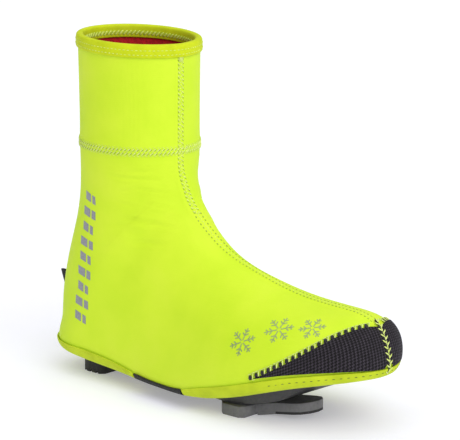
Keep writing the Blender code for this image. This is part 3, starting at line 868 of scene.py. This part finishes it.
def stitch_tree():
    """The node tree that sets the same bead, turned and scaled, on every point."""
    tree = bpy.data.node_groups.new("sewn_stitches", "GeometryNodeTree")
    for name, kind in (("Points", "Geometry"), ("Length", "Float"), ("Width", "Float"),
                       ("Height", "Float"), ("Rings", "Int"), ("Thread", "Material")):
        tree.interface.new_socket(name, in_out="INPUT", socket_type="NodeSocket" + kind)
    tree.interface.new_socket("Stitches", in_out="OUTPUT", socket_type="NodeSocketGeometry")

    def add(kind, **settings):
        made = tree.nodes.new(kind)
        for key, value in settings.items():
            setattr(made, key, value)
        return made

    def wire(source, result, target, socket):
        tree.links.new(source.outputs[result], target.inputs[socket])

    def read(name, kind):
        made = add("GeometryNodeInputNamedAttribute", data_type=kind)
        made.inputs["Name"].default_value = name
        return made

    given = add("NodeGroupInput")
    bead = add("GeometryNodeMeshUVSphere")
    bead.inputs["Segments"].default_value = 6
    bead.inputs["Radius"].default_value = 0.5
    wire(given, "Rings", bead, "Rings")
    lengthwise = add("FunctionNodeAlignRotationToVector", axis="X")
    wire(read("along", "FLOAT_VECTOR"), "Attribute", lengthwise, "Vector")
    upright = add("FunctionNodeAlignRotationToVector", axis="Z", pivot_axis="X")
    wire(lengthwise, "Rotation", upright, "Rotation")
    wire(read("out", "FLOAT_VECTOR"), "Attribute", upright, "Vector")
    size = add("ShaderNodeCombineXYZ")
    for name, socket in (("Length", "X"), ("Width", "Y"), ("Height", "Z")):
        wire(given, name, size, socket)
    scaled = add("ShaderNodeVectorMath", operation="SCALE")
    wire(size, "Vector", scaled, 0)
    wire(read("size", "FLOAT"), "Attribute", scaled, "Scale")
    scatter = add("GeometryNodeInstanceOnPoints")
    wire(given, "Points", scatter, "Points")
    wire(bead, "Mesh", scatter, "Instance")
    wire(upright, "Rotation", scatter, "Rotation")
    wire(scaled, "Vector", scatter, "Scale")
    real = add("GeometryNodeRealizeInstances")
    wire(scatter, "Instances", real, "Geometry")
    paint = add("GeometryNodeSetMaterial")
    wire(real, "Geometry", paint, "Geometry")
    wire(given, "Thread", paint, "Material")
    wire(paint, "Geometry", add("NodeGroupOutput"), "Stitches")
    return tree


STITCHES = stitch_tree()
print("stitch tree:", len(STITCHES.nodes), "nodes")

# %% [markdown]
# ### Sewing a row
# A row is given as a list of places. They become a mesh of loose points that carry the directions
# as attributes, the tree makes the beads, and the result is turned into a plain mesh before the
# row is dressed like any other piece. One object for each stitch would swamp the scene.

# %% Helper for a sewn row


def sew(name, slot, thread, size, stitches, shares=None, rings=5):
    """One mesh of stitches, each given as a point, the way it runs and the way it faces.

    size is a stitch's length, width and height in millimetres.
    """
    data = bpy.data.meshes.new(name)
    data.from_pydata([tuple(stitch[0]) for stitch in stitches], [], [])
    attribute = data.attributes.new("size", "FLOAT", "POINT")
    attribute.data.foreach_set("value", shares or [1.0] * len(stitches))
    for key, column in (("along", 1), ("out", 2)):
        attribute = data.attributes.new(key, "FLOAT_VECTOR", "POINT")
        attribute.data.foreach_set("vector", [c for stitch in stitches for c in stitch[column]])
    obj = new_object(name, data)
    modifier = obj.modifiers.new("stitches", "NODES")
    modifier.node_group = STITCHES
    length, width, height = (value * MM for value in size)
    inputs = dict(Length=length, Width=width, Height=height, Rings=rings, Thread=thread)
    for item in STITCHES.interface.items_tree:
        if item.name in inputs:
            modifier[item.identifier] = inputs[item.name]
    dress(plain_mesh(obj), name, slot, None)


# %% [markdown]
# ## Sewing patterns
# Three patterns cover the whole shoe. A run is one row of beads along the line. A slant is a row
# of beads that each cross the line at an angle, as on an overlocked edge. A zigzag swings from
# side to side. A sewing machine's real thread also runs underneath, which nobody sees, so each
# pattern lays only the beads on top.

# %% Patterns


def slant_row(steps, every, aside=0.0, lean=1.0, lift=0.0):
    """One row of beads, each aside of the line and above it by so many millimetres.

    lean is how far a bead crosses the line for each step along it.
    """
    return [(spot + (across * aside + out * lift) * MM, (along + across * lean).normalized(), out)
            for spot, along, out, across in steps[::every]]


def run_row(steps, every, aside=0.0, lift=0.0):
    return slant_row(steps, every, aside, 0.0, lift)


def zigzag_row(steps, every, half):
    """half is half the width of the zigzag, in millimetres."""
    rows = []
    for k, (spot, along, out, across) in enumerate(steps[::every]):
        way = 1 if k % 2 else -1
        rows.append((spot, (along * every + across * way * 2 * half).normalized(), out))
    return rows


print("a bead on every third step of the cuff seam:", len(run_row(cuff_seam, 3)), "beads")

# %% [markdown]
# ### Rows of the two seams
# Flat neoprene panels are joined by a flatlock seam, which lies flat on both sides. On the leg and
# the cuff it is wide: pale slanted beads with olive ones in their gaps, over a zigzag or between
# two runs. On the foot it is narrow, with a dotted olive row on each side. The olive beads are
# painted shade, in the gaps and beside the narrow seam. One table lists every row.

# %% Front and cuff seam
SEAM_CHANGE = 128 * MM
SEAM_END = 238 * MM
leg_part = [s for s in front_seam if s[0].z > SEAM_CHANGE]
foot_part = [s for s in front_seam if s[0].z <= SEAM_CHANGE and s[0].x < SEAM_END]
SEAM_ROWS = (
    # name, thread, length, width and height of a bead, beads
    ("front_seam_zigzag", LIME_THREAD, (3.8, 0.75, 0.7), zigzag_row(leg_part, 2, 1.3)),
    ("front_seam_runs", PALE_THREAD, (2.3, 0.8, 0.7),
     slant_row(leg_part, 3, 1.7, 0.8) + slant_row(leg_part[1:], 3, -1.7, 0.8)),
    # painted shade: olive beads in the gaps between the pale slants
    ("front_seam_shades", OLIVE_SHADE_THREAD, (1.9, 0.6, 0.55),
     slant_row(leg_part[1:], 3, 2.0, 0.8) + slant_row(leg_part[2:], 3, -2.0, 0.8)),
    # painted shade: olive dotted rows beside the narrow seam
    ("instep_seam_runs", OLIVE_SHADE_THREAD, (1.7, 1.0, 0.5),
     run_row(foot_part, 3, 2.4) + run_row(foot_part[1:], 3, -2.4)),
    ("instep_seam_middle", LIME_THREAD, (2.4, 0.6, 0.45), zigzag_row(foot_part, 2, 0.9)),
    ("cuff_seam_slants", PALE_THREAD, (4.3, 0.8, 0.75),
     slant_row(cuff_seam, 3, 1.2, 0.9, 0.1) + slant_row(cuff_seam[1:], 3, -1.4, 0.9, 0.1)),
    # painted shade: olive beads in the gaps between the pale slants
    ("cuff_seam_shades", OLIVE_SHADE_THREAD, (2.6, 0.7, 0.5),
     slant_row(cuff_seam[1:], 3, 1.2, 0.9) + slant_row(cuff_seam[2:], 3, -1.4, 0.9)),
    ("cuff_seam_runs", LIME_THREAD, (1.8, 0.6, 0.4),
     run_row(cuff_seam, 3, 3.0) + run_row(cuff_seam[1:], 3, -3.0)),
)
for name, thread, size, stitches in SEAM_ROWS:
    sew(name, "neoprene_lime", thread, size, stitches)

# %% [markdown]
# ## Collar
# The top edge is wrapped in a folded strip. Its outer leaf is held by two rows of stitches, and
# the inner leaf by a rope-like overlock that shows on the far side of the mouth. A small pale bar
# tack, four beads across the line, locks the end of the front seam.

# %% Collar stitches
collar_tree = skin_tree(binding, upper)
for number, below in enumerate((2.2, 5.4)):
    row = even_steps(ring_line(collar_tree, COLLAR - below * MM, COLLAR_DROP), True)
    sew("collar_row_%d" % (number + 1), "binding_yellow", LIME_THREAD, (2.1, 0.7, 0.6),
        run_row(row[number:], 3))

row = even_steps(ring_line(collar_tree, COLLAR - 4.2 * MM, COLLAR_DROP, 160, True), True)
sew("collar_overlock", "binding_yellow", LIME_THREAD, (5.4, 1.3, 1.0),
    slant_row(row, 3, 0.0, 1.1, 0.1))
# painted shade: olive beads in the gaps of the overlock's rope
sew("collar_overlock_shades", "binding_yellow", OLIVE_SHADE_THREAD, (4.6, 1.0, 0.6),
    slant_row(row[1:], 3, 0.0, 1.1))

spot, along, out, across = front_seam[4]
sew("collar_bar_tack", "binding_yellow", PALE_THREAD, (4.6, 0.8, 0.8),
    [(spot + (along * (k - 1.5) * 0.8 + out * 0.4) * MM, across, out) for k in range(4)])

# %% [markdown]
# ## Edges of the toe cap
# The cap's slanting edge is whipped down with alternating black and pale threads. The edge is read
# from the cap itself: at each place along the shoe it is the cap's highest point. A typed list of
# points would drift off when the cap changes. The stitches run on a little past the cap's rear
# corner, down to the band.

# %% Toe cap stitches
CAP_BACK_INSET = 2 * MM
CAP_EDGE_END = 242 * MM
CAP_RUN_ON = 6 * MM
EDGE_LIFT = 1.3 * MM
EDGE_WINDOW = 1.6 * MM


def cap_edge(cap):
    """The upper edge of a cap half, from back to front, as points with the way they face."""
    points = points_of(cap)
    line = []
    for x in np.linspace(points[:, 0].min() + CAP_BACK_INSET, CAP_EDGE_END, 60):
        near = points[np.abs(points[:, 0] - x) < EDGE_WINDOW]
        if len(near) == 0:
            continue
        top = Vector(near[near[:, 2].argmax()])
        spot, normal, _, _ = skin.find_nearest(top)
        line.append((spot + normal * EDGE_LIFT, normal))
    smooth = []
    for k in range(len(line)):
        around = line[max(0, k - 3):k + 4]
        spot = sum((p[0] for p in around), Vector()) / len(around)
        smooth.append((spot, sum((p[1] for p in around), Vector()).normalized()))
    return smooth


for cap, side in zip(toe_caps, ("outer", "inner")):
    line = cap_edge(cap)
    (further, facing), (corner, _) = line[4], line[0]
    run_on = corner + (corner - further).normalized() * CAP_RUN_ON
    edge = even_steps([(run_on, facing)] + line)
    up = 1.0 if edge[10][3].z > 0 else -1.0
    for row, thread, size, stitches in (
        ("black", DARK_THREAD, (4.0, 3.0, 0.9), slant_row(edge, 5, 1.4 * up, 1.9 * up, -0.30)),
        ("pale", PALE_THREAD, (5.0, 1.0, 0.9), slant_row(edge[2:], 5, 1.3 * up, 1.9 * up, -0.15)),
        ("run", PALE_THREAD, (3.2, 0.8, 0.7), run_row(edge, 3, 3.6 * up, -0.9)),
        ("low_run", PALE_THREAD, (2.2, 0.6, 0.6), run_row(edge[2:], 4, -0.7 * up, 0.1)),
    ):
        sew("cap_edge_%s_%s" % (row, side), "toe_weave", thread, size, stitches)

# %% [markdown]
# ## Middle seam of the toe
# Rays come in from in front, fanned in the plane of the seam, so the line runs from the top of the
# cap down its front to the band. On the shoe a black tape fills the gap between the halves, and
# feather stitches cross it. Wide flat black beads that overlap make the tape, so it needs no mesh
# of its own.

# %% Toe seam
TOE_PIVOT = Vector((225.0, 11.5, 50.0)) * MM
toe_tree = skin_tree(upper, *toe_caps)
toe_seam = even_steps([land(toe_tree, TOE_PIVOT + upright_way(angle) * FAR, TOE_PIVOT)
                       for angle in np.linspace(62.0, -20.0, 40)])
sew("toe_seam_tape", "toe_weave", DARK_THREAD, (3.6, 2.4, 1.2),
    run_row(toe_seam, 2, 0.0, 1.3))
sew("toe_seam_feather", "toe_weave", PALE_THREAD, (4.6, 1.0, 0.8),
    [(spot + (across * way * 1.5 + out * 1.9) * MM, (across * way - along * 0.8).normalized(), out)
     for way, part in ((1, toe_seam[::4]), (-1, toe_seam[2::4]))
     for spot, along, out, across in part])
sew("toe_seam_run", "toe_weave", PALE_THREAD, (3.4, 0.8, 0.8),
    run_row(toe_seam, 3, 0.0, 2.0))

# %% [markdown]
# ## Dotted row on the band
# In front, the band is held by one dotted row. Its height rises with the sole line, and a level
# ring would run off the band, so each ray is sent again at the height that belongs to the place
# where the last one landed.

# %% Band row
BAND_MIDDLE = (
    # share of the length, height in millimetres
    (0.62, 18.0),
    (0.70, 23.4),
    (0.764, 29.0),
    (0.805, 32.3),
    (0.845, 35.2),
    (0.915, 38.8),
    (0.967, 40.8),
    (1.00, 41.4),
)
band_tree = skin_tree(bands[0])
band_line = []
for angle in np.linspace(-118.0, 118.0, 150):
    way = level_way(math.radians(angle))
    height, found = 38 * MM, None
    for _ in range(4):
        centre = Vector((TOE_CENTRE.x, TOE_CENTRE.y, height))
        found = land(band_tree, centre + way * FAR, centre)
        if found is None:
            break
        height = read_chart(BAND_MIDDLE, 1, (found[0].x - HEEL_BACK) / LENGTH) * MM
    band_line.append(found)
# painted shade: the row's dark green dots are the shade in its stitch holes
sew("hem_band_row", "band_olive", SHADE_THREAD, (2.2, 0.8, 0.35),
    run_row(even_steps(band_line), 5))

# %% [markdown]
# ## Reflective print
# A grey retro-reflective film is pressed on the heel's outer side and on the forefoot. It stands
# less than a fifth of a millimetre proud, and it follows the skin. Each mark is drawn as a small
# flat shape, cut into a grid, laid on the nearest skin and given its thickness. An image on the
# shell would be quicker, but its edges would blur and it would need a map without seams.

# %% Print helpers
FILM = 0.16 * MM
FILM_SUNK = -0.048 * MM


def reflective_film(name, light, dark):
    made = Finish(name, 0.38, Metallic=0.25)
    where = made.place()
    beads = made.cells(where, 1600.0)
    made.colour(made.ramp(beads, (0.1, light), (0.8, dark)))
    made.relief(beads, 0.00005, 0.5)
    return made.material


GREY_FILM = reflective_film("grey_film", (0.34, 0.35, 0.37), (0.22, 0.23, 0.25))
GREEN_FILM = reflective_film("green_grey_film", (0.40, 0.50, 0.22), (0.30, 0.40, 0.15))


def along_skin(out):
    """The way towards the toe on a skin that faces out."""
    return (Vector((1, 0, 0)) - out * out.x).normalized()


def mark_base(x, z):
    """A place on the skin's outer side, with the ways along and up it."""
    spot, out = land(skin, (x * MM, -FAR, z * MM), (x * MM, 0.0, z * MM))
    up = out.cross(along_skin(out))
    return spot, along_skin(out), up if up.z > 0 else -up


def film_patch(shell, base, corners, cuts=(6, 2)):
    """Adds a thin patch between four corners, given in millimetres along and up from the base."""
    spot, along, up = base
    wide, deep = cuts
    a, b, c, d = (np.array(corner) for corner in corners)
    rows = []
    for i in range(wide + 1):
        u = i / wide
        row = []
        for j in range(deep + 1):
            v = j / deep
            place = (a * (1 - u) + b * u) * (1 - v) + (d * (1 - u) + c * u) * v
            point = spot + along * float(place[0]) * MM + up * float(place[1]) * MM
            there, normal, _, _ = skin.find_nearest(point)
            row.append([shell.verts.new(there + normal * lift) for lift in (FILM, FILM_SUNK)])
        rows.append(row)
    for i in range(wide):
        for j in range(deep):
            quad = (rows[i][j], rows[i + 1][j], rows[i + 1][j + 1], rows[i][j + 1])
            shell.faces.new([p[0] for p in quad])
            shell.faces.new([p[1] for p in reversed(quad)])
    rim = ([rows[i][0] for i in range(wide)] + [rows[wide][j] for j in range(deep)]
           + [rows[i][deep] for i in range(wide, 0, -1)] + [rows[0][j] for j in range(deep, 0, -1)])
    for here, there in zip(rim, rim[1:] + rim[:1]):
        shell.faces.new((there[0], here[0], here[1], there[1]))


def film_piece(name, shell, finish):
    bmesh.ops.recalc_face_normals(shell, faces=shell.faces)
    dress(shell_object(name, shell), name, "neoprene_lime", [finish])


print("films:", GREY_FILM.name, GREEN_FILM.name, FILM, "m thick")

# %% [markdown]
# ### Bars and flakes
# The bars climb the heel in a slanted column, each one a leaning block with a shorter one beside
# it. The flakes are arms with two pairs of twigs, turned in steps of sixty degrees. Both follow a
# plain rule, so they are drawn by loops and not typed point by point.

# %% Bars and flakes
BAR_COUNT = 9
BAR_LOW = (8.0, 46.0)
BAR_HIGH = (18.5, 134.0)
BAR_HALF = 6.8
BAR_TALL = 6.0
BAR_LEAN = 3.0
BAR_NARROW = 0.82
BAR_SPLIT = 0.28
BAR_GAP = 1.6

shell = bmesh.new()
for k in range(BAR_COUNT):
    share = k / (BAR_COUNT - 1)
    base = mark_base(*(low + (high - low) * share for low, high in zip(BAR_LOW, BAR_HIGH)))
    half = BAR_HALF * (1.0 if k % 2 else BAR_NARROW)
    split = half * BAR_SPLIT
    for start, stop in ((-half, split - BAR_GAP / 2), (split + BAR_GAP / 2, half)):
        film_patch(shell, base, [(x, side * BAR_TALL / 2 - BAR_LEAN / 2 * x / half)
                                 for x, side in ((start, -1), (stop, -1), (stop, 1), (start, 1))])
film_piece("heel_bars_print", shell, GREY_FILM)

FLAKES = (
    # place along, height, radius
    (163.5, 56.5, 10.2),
    (186.5, 67.0, 10.8),
    (208.5, 70.5, 9.6),
)
LINE = 0.40
HUB = 0.12
TWIGS = ((0.45, 0.30), (0.72, 0.24))
TWIG_LEAN = 52


def arm_way(degrees):
    turn = math.radians(degrees)
    return np.array((math.cos(turn), math.sin(turn)))


def flake_line(shell, base, start, stop):
    start, stop = np.array(start), np.array(stop)
    along = (stop - start) / np.linalg.norm(stop - start)
    across = np.array((-along[1], along[0])) * LINE
    film_patch(shell, base, (start - across, stop - across, stop + across, start + across), (4, 1))


shell = bmesh.new()
for x, z, radius in FLAKES:
    base = mark_base(x, z)
    for arm in range(6):
        turn = 60 * arm + 30
        way = arm_way(turn)
        flake_line(shell, base, way * HUB * radius, way * radius)
        for share, twig in TWIGS:
            fork = way * share * radius
            for lean in (-TWIG_LEAN, TWIG_LEAN):
                flake_line(shell, base, fork, fork + arm_way(turn + lean) * twig * radius)
film_piece("forefoot_flakes_print", shell, GREEN_FILM)

# %% [markdown]
# ## Halftone on the inner side
# The inner side carries a halftone: rows of dots that are large near the sole at the heel and
# shrink towards the instep and the toe. A texture could draw it, but dots that are real stay sharp
# in every view. The stitch tree sets one low dot on every point, scaled by its own share, so the
# fade is one formula.

# %% Halftone dots
DOT_PITCH = 2.6
DOT_SIZE = 2.1
DOT_LOW = 24.0
DOT_BACK, DOT_FRONT = -24.0, 200.0
ROW_SHARE = 0.86
BALL_START = 130.0
LEAST_FADE = 0.08
LEAST_FACING = 0.25
LEAST_ASIDE = 5 * MM


def dots_top(x):
    """Height in millimetres at which the dots have faded out."""
    return 96.0 - 0.22 * max(0.0, x) - 0.0006 * max(0.0, x) ** 2


def band_top(x):
    """Height in millimetres under which the band at the ball of the foot keeps the dots off."""
    return 30.0 + (x - BALL_START) * 0.35 if x > BALL_START else 0.0


dot_ink = Finish("halftone_ink", 0.6)
dot_ink.colour(dot_ink.ramp(dot_ink.noise(dot_ink.place(), 300.0), (0.3, (0.085, 0.150, 0.006)),
                            (0.7, (0.12, 0.20, 0.010))))
dots, shares = [], []
for row in range(46):
    z = DOT_LOW + 2.0 + row * DOT_PITCH * ROW_SHARE
    for column in range(100):
        x = DOT_BACK + (column + 0.5 * (row % 2)) * DOT_PITCH
        fade = 1.0 - (z - DOT_LOW) / (dots_top(x) - DOT_LOW)
        if fade < LEAST_FADE or x > DOT_FRONT or z < band_top(x):
            continue
        found = land(skin, (x * MM, FAR, z * MM), (x * MM, 0.0, z * MM))
        if found is None or found[1].y < LEAST_FACING or found[0].y < LEAST_ASIDE:
            continue
        spot, out = found
        dots.append((spot, along_skin(out), out))
        shares.append(min(1.0, 0.35 + 0.75 * fade))
sew("inner_halftone_print", "neoprene_lime", dot_ink.material, (DOT_SIZE, DOT_SIZE, 0.24),
    dots, shares, 3)
print("halftone dots", len(dots))

# %% [markdown]
# ## Sole, pad and cleat
# The hard parts under the shoe are moulded in plastic and rubber, so their faces have a fine grain
# and faint scuffs. One recipe serves them all, with other colours and roughness: a sharp noise for
# the grain, and a stretched one for the scuffs, which run along the shoe.

# %% Hard finishes


def moulded(name, dark, light, roughness, grain=500.0):
    made = Finish(name, roughness)
    where = made.place()
    speck = made.noise(where, grain, 3.0)
    scuff = made.noise(made.place((1.0, 3.0, 1.0)), 60.0, 5.0, 0.7)
    made.colour(made.ramp(made.sum("MULTIPLY", speck, scuff), (0.15, dark), (0.45, light)))
    made.rough(scuff, roughness - 0.12, roughness + 0.15)
    made.relief(speck, 0.00012, 0.6)
    made.relief(scuff, 0.00020, 0.3)
    return made.material


SOLE_PLASTIC = moulded("sole_plastic", (0.030, 0.030, 0.031), (0.055, 0.055, 0.056), 0.45)
CLEAT_PLASTIC = moulded("cleat_plastic", (0.135, 0.135, 0.137), (0.180, 0.180, 0.183), 0.50)
PAD_RUBBER = moulded("pad_rubber", (0.010, 0.010, 0.010), (0.026, 0.026, 0.027), 0.62, 700.0)
BOLT_STEEL = moulded("bolt_steel", (0.28, 0.28, 0.29), (0.45, 0.45, 0.46), 0.34, 900.0)
print("hard finishes:", SOLE_PLASTIC.name, CLEAT_PLASTIC.name, PAD_RUBBER.name, BOLT_STEEL.name)

# %% [markdown]
# ### Sole and insole
# No moulded edge is quite sharp, and the light on a rounded edge is what makes it look solid. A
# subdivided copy would melt flat faces, so hard pieces get a narrow Bevel on their sharp edges.
# The insole is seen only through the collar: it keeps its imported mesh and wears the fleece.

# %% Sole and insole
SHARP = math.radians(35)


def edged_copy(node, width, segments=3, angle=35):
    """A copy of a hard CAD node with its sharp edges rounded."""
    shell = solid_shell(node)
    bmesh.ops.dissolve_limit(shell, angle_limit=math.radians(1.0), verts=shell.verts,
                             edges=shell.edges)
    obj = shell_object(node + "_edged", shell)
    rounding = obj.modifiers.new("edges", "BEVEL")
    rounding.width = width
    rounding.segments = segments
    rounding.limit_method = "ANGLE"
    rounding.angle_limit = math.radians(angle)
    rounding.harden_normals = True
    return obj


sole = plain_mesh(edged_copy("outsole", 0.5 * MM, 2, 50))
sole.data.set_sharp_from_angle(angle=SHARP)
dress(sole, "outsole_moulded", "sole_grey", [SOLE_PLASTIC], "outsole")
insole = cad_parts["insole"].data
insole.materials.clear()
insole.materials.append(FLEECE)
print("insole wears", FLEECE.name)

# %% [markdown]
# ### Heel pad
# The pad is a block of soft rubber with grooves across its ground face, so it grips when walking.
# A texture would not break the pad's outline, so the grooves are cut by a Boolean with thin boxes,
# joined to one cutter, before the edges are rounded.

# %% Heel pad


def block(shell, low, high):
    """Adds a box between two corners, in millimetres."""
    made = bmesh.ops.create_cube(shell, size=1.0)
    middle = (Vector(low) + Vector(high)) / 2 * MM
    size = (Vector(high) - Vector(low)) * MM
    for vertex in made["verts"]:
        vertex.co = vertex.co * size + middle


def drum(shell, spot, radius, low, high, sides):
    """Adds an upright cylinder, in millimetres."""
    made = bmesh.ops.create_cone(shell, cap_ends=True, segments=sides, radius1=radius * MM,
                                 radius2=radius * MM, depth=(high - low) * MM)
    for vertex in made["verts"]:
        vertex.co += Vector((spot[0], spot[1], (low + high) / 2)) * MM


def cut_out(obj, shell):
    """Cuts a shape out of a piece, before its edges are rounded."""
    cutter = shell_object("cutter", shell)
    cut = obj.modifiers.new("cut", "BOOLEAN")
    cut.operation = "DIFFERENCE"
    cut.solver = "EXACT"
    cut.object = cutter
    obj.modifiers.move(len(obj.modifiers) - 1, 0)
    plain_mesh(obj)
    bpy.data.objects.remove(cutter)
    obj.data.set_sharp_from_angle(angle=SHARP)


GROOVE_PLACES = (-6.0, 0.0, 6.0)
GROOVE_HALF_WIDTH = 0.9
GROOVE_HALF_LENGTH = 24.0
GROOVE_DEPTH = 1.6

pad = edged_copy("heel_pad", 0.9 * MM)
grooves = bmesh.new()
for x in GROOVE_PLACES:
    block(grooves, (x - GROOVE_HALF_WIDTH, -GROOVE_HALF_LENGTH, -1.0),
          (x + GROOVE_HALF_WIDTH, GROOVE_HALF_LENGTH, GROOVE_DEPTH))
cut_out(pad, grooves)
dress(pad, "heel_pad_rubber", "pad_rubber", [PAD_RUBBER], "heel_pad")

# %% [markdown]
# ### Cleat
# The cleat is a grey plastic plate, held by three bolts in round recesses. The recesses are cut
# first. The nose slopes up to the toe, and its lowest layer is black rubber: a cutting plane
# parts the faces there, and those below it get the rubber, so the piece stays one mesh.

# %% Cleat
BOLTS = (
    # place along, aside, height of the cleat's underside there
    (148.0, -20.0, 0.0),
    (148.0, 20.0, 0.0),
    (184.0, 0.0, 4.4),
)
RECESS_RADIUS = 6.4
RECESS_DEPTH = 2.6

cleat = edged_copy("cleat", 0.8 * MM)
recesses = bmesh.new()
for x, y, under in BOLTS:
    drum(recesses, (x, y), RECESS_RADIUS, -2.0, under + RECESS_DEPTH, 32)
# a groove across the cleat, behind its nose
block(recesses, (158.0, -40.0, -2.0), (160.2, 40.0, 1.8))
cut_out(cleat, recesses)
dress(cleat, "cleat_moulded", "cleat_grey", [CLEAT_PLASTIC, PAD_RUBBER], "cleat")

NOSE_SLOPE = 6.0 / 39.0
LAYER_START = Vector((159.5, 0.0, 1.9)) * MM
NOSE_START = 166 * MM
layered = bmesh.new()
layered.from_mesh(cleat.data)
slant = Vector((-NOSE_SLOPE, 0.0, 1.0)).normalized()
bmesh.ops.bisect_plane(layered, geom=layered.verts[:] + layered.edges[:] + layered.faces[:],
                       plane_co=LAYER_START, plane_no=slant, dist=1e-6)
for face in layered.faces:
    middle = face.calc_center_median()
    if middle.x > NOSE_START and (middle - LAYER_START).dot(slant) < 0:
        face.material_index = 1
layered.to_mesh(cleat.data)
layered.free()
print("rubber faces under the nose:", sum(face.material_index for face in cleat.data.polygons))

# %% [markdown]
# ### Bolts
# Each bolt is a washer and a head with a six-sided socket. They are turned parts, so plain drums
# are enough, and all three are one piece because they look alike and never move apart.

# %% Bolts
WASHER_RADIUS = 5.6
HEAD_RADIUS = 4.0
SOCKET_RADIUS = 2.1

steel = bmesh.new()
for x, y, under in BOLTS:
    drum(steel, (x, y), WASHER_RADIUS, under + 1.7, under + 2.5, 32)
    drum(steel, (x, y), HEAD_RADIUS, under + 0.6, under + 1.7, 24)
bolts = shell_object("cleat_bolts", steel)
sockets = bmesh.new()
for x, y, under in BOLTS:
    drum(sockets, (x, y), SOCKET_RADIUS, under - 0.5, under + 1.5, 6)
cut_out(bolts, sockets)
dress(bolts, "cleat_bolts", "cleat_grey", [BOLT_STEEL])
